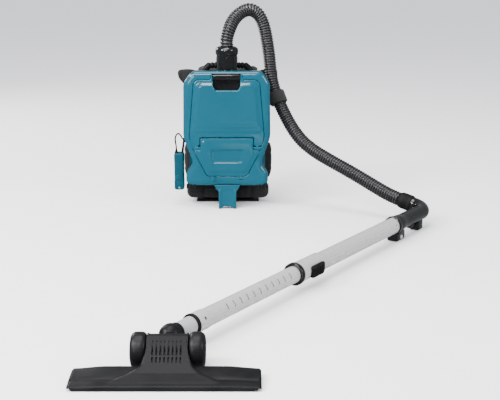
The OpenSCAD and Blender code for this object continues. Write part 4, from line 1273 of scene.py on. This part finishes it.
def make_neck_joint():
    at_elbow = place(ELBOW, BARREL_DIR)
    dome = .0195
    profile = [(dome * sin(a), max(.0001, dome * cos(a))) for a in np.linspace(pi / 2,
        asin(-.014 / dome), 30)]
    profile += mm("-14 12.6, -14 12, -19.5 12, -20 11.4, -20 9.2, -4 9, 4 8.8, 10 .1")
    ball = lathe("ball", profile, at_elbow, 96)
    throat = lathe("throat", mm("16 14.25, 19.4 14.25, 19.8 14.8, 19.8 15.6, 19 16.3, 17.6 16.6, "
        "8 16.6, 4 12, 4 9, 15.8 9"), on_wand(0), 96)
    ring = lathe("ring", mm("12.8 14.4, 13.4 15, 14.6 15, 15.2 14.2, 15.2 11, 12.8 11"), at_elbow, 72)
    finish_piece(join("elbow_dome", [ball, throat, ring]), "inner_wand", BLACK_SATIN,
        "elbow", 40)
    half = mm("-30 4.05, -30 23.3, -29.6 24.1, -28.6 24.5, -15.5 24.5, -15 23.9, -14 23.9, -13.5 24.5")
    drum = lathe("drum", half + [(-z, r) for z, r in half[::-1]], on_axle(), 96)
    profile = mm("17 12.05, 17 15") + mm("-3 15, -2.6 15.8, -1 16, 0 15.4, 0 12.05",
        float(np.linalg.norm(ELBOW - AXLE)) - .0143)
    neck = lathe("neck", profile, place(AXLE, BARREL_DIR), 72)
    finish_piece(join("swivel_drum", [drum, neck]), "swivel_barrel", BLACK_SATIN,
        "swivel_barrel", 40)


# ---------------------------------------------------------------- what the pack holds
def make_inside():
    low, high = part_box("dust_bag")
    bag = remeshed_box("dust_bag_paper", low + Vector((.005,) * 3), high - Vector((.005,) * 3), .012,
        .006)
    bag = inflated(bag, .006, 5)
    co = points_of(bag)
    co[:, 1] += (.0012 * np.sin(co[:, 0] * 210 + 3 * np.sin(co[:, 2] * 95)) + .0009 * np.sin(co[:, 2]
        * 260 + 2.4 * np.sin(co[:, 0] * 120 + 1)))
    move_points(bag, co)
    finish_piece(bag, "pack", PAPER, "dust_bag", 80)
    for node in ("battery_left", "battery_right"):
        low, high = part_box(node)
        x = (low.x + high.x) / 2
        parts = [block("case", low + Vector((.0006, .0006, 0)), high - Vector((.0006, .0006, .024)),
            .006, 4), block("rail", (low.x + .006, low.y + .004, high.z - .028),
            (high.x - .006, high.y - .003, high.z), .004, 3)]
        parts += [block("rib", (at, low.y, low.z + .01), (at + .003, low.y + .004, high.z - .036),
            .0012, 2) for at in np.arange(low.x + .012, high.x - .012, .0072)]
        parts.append(block("catch", (x - .014, low.y, low.z + .004), (x + .014, low.y + .006,
            low.z + .0085), .0015, 2))
        finish_piece(join(node + "_case", parts), "pack", BLACK_GRAIN, node, 40)
    low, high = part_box("pre_filter")
    folds = 52
    front = [(low.x + (high.x - low.x) * k / folds, low.y + .0015 if k % 2 else high.y - .0035)
        for k in range(folds + 1)]
    pleats = front + [(x, y + .0015) for x, y in front[::-1]]
    folded = loft("filter", [[(x, y, z) for x, y in pleats] for z in (low.z + .003, high.z - .003)])
    rims = [block("rim", (low.x, low.y, z), (high.x, high.y, z + .006), .0012, 2) for z in (low.z,
        high.z - .006)]
    rims += [block("rim", (x, low.y, low.z), (x + .005, high.y, high.z), .0012, 2) for x in (low.x,
        high.x - .005)]
    finish_piece(folded, "pack", FILTER, "pre_filter", 20)
    finish_piece(join("pre_filter_rim", rims), "pack", BLACK_SATIN, sharp=40)


CARRIED = {
    "dust_cover_pins": (BLACK_SATIN, .0003), "cover_gasket": (RUBBER, .0007),
    "battery_cover_pins": (BLACK_SATIN, .0003), "battery_terminals": (BRASS, .0003),
    "motor_housing": (BLACK_SATIN, .001), "motor": (STEEL, .0008), "fan": (STEEL, .0002),
    "motor_screws": (STEEL, .0003), "bag_collar": (CARD, .0004), "circuit_board": (BOARD, .0004),
    "harness_frame": (BLACK_GRAIN, .0014), "control_hanger": (BLACK_SATIN, .0006),
    "control_led": (LAMP, .0004), "housing_screws": (STEEL, .0008), "sole_plate": (STEEL, .0005),
    "brush_strips": (BRISTLE, .0002), "wheel_axle": (STEEL, .0005)}


make_camera()
make_cuff()
make_cords()
make_studio()
make_front_frame()
make_dust_cover()
make_cover_latch()
make_battery_cover()
make_housing()
make_tongue()
make_carry_handle()
make_connector()
make_pads()
make_straps()
make_wings()
make_adjusters()
make_belts()
make_hose_holder()
make_remote()
make_tubes()
make_lock_slider()
make_handle()
make_head()
make_wheels()
make_neck_joint()
make_inside()
for node, (material, width) in CARRIED.items():
    dress(node, material, width)
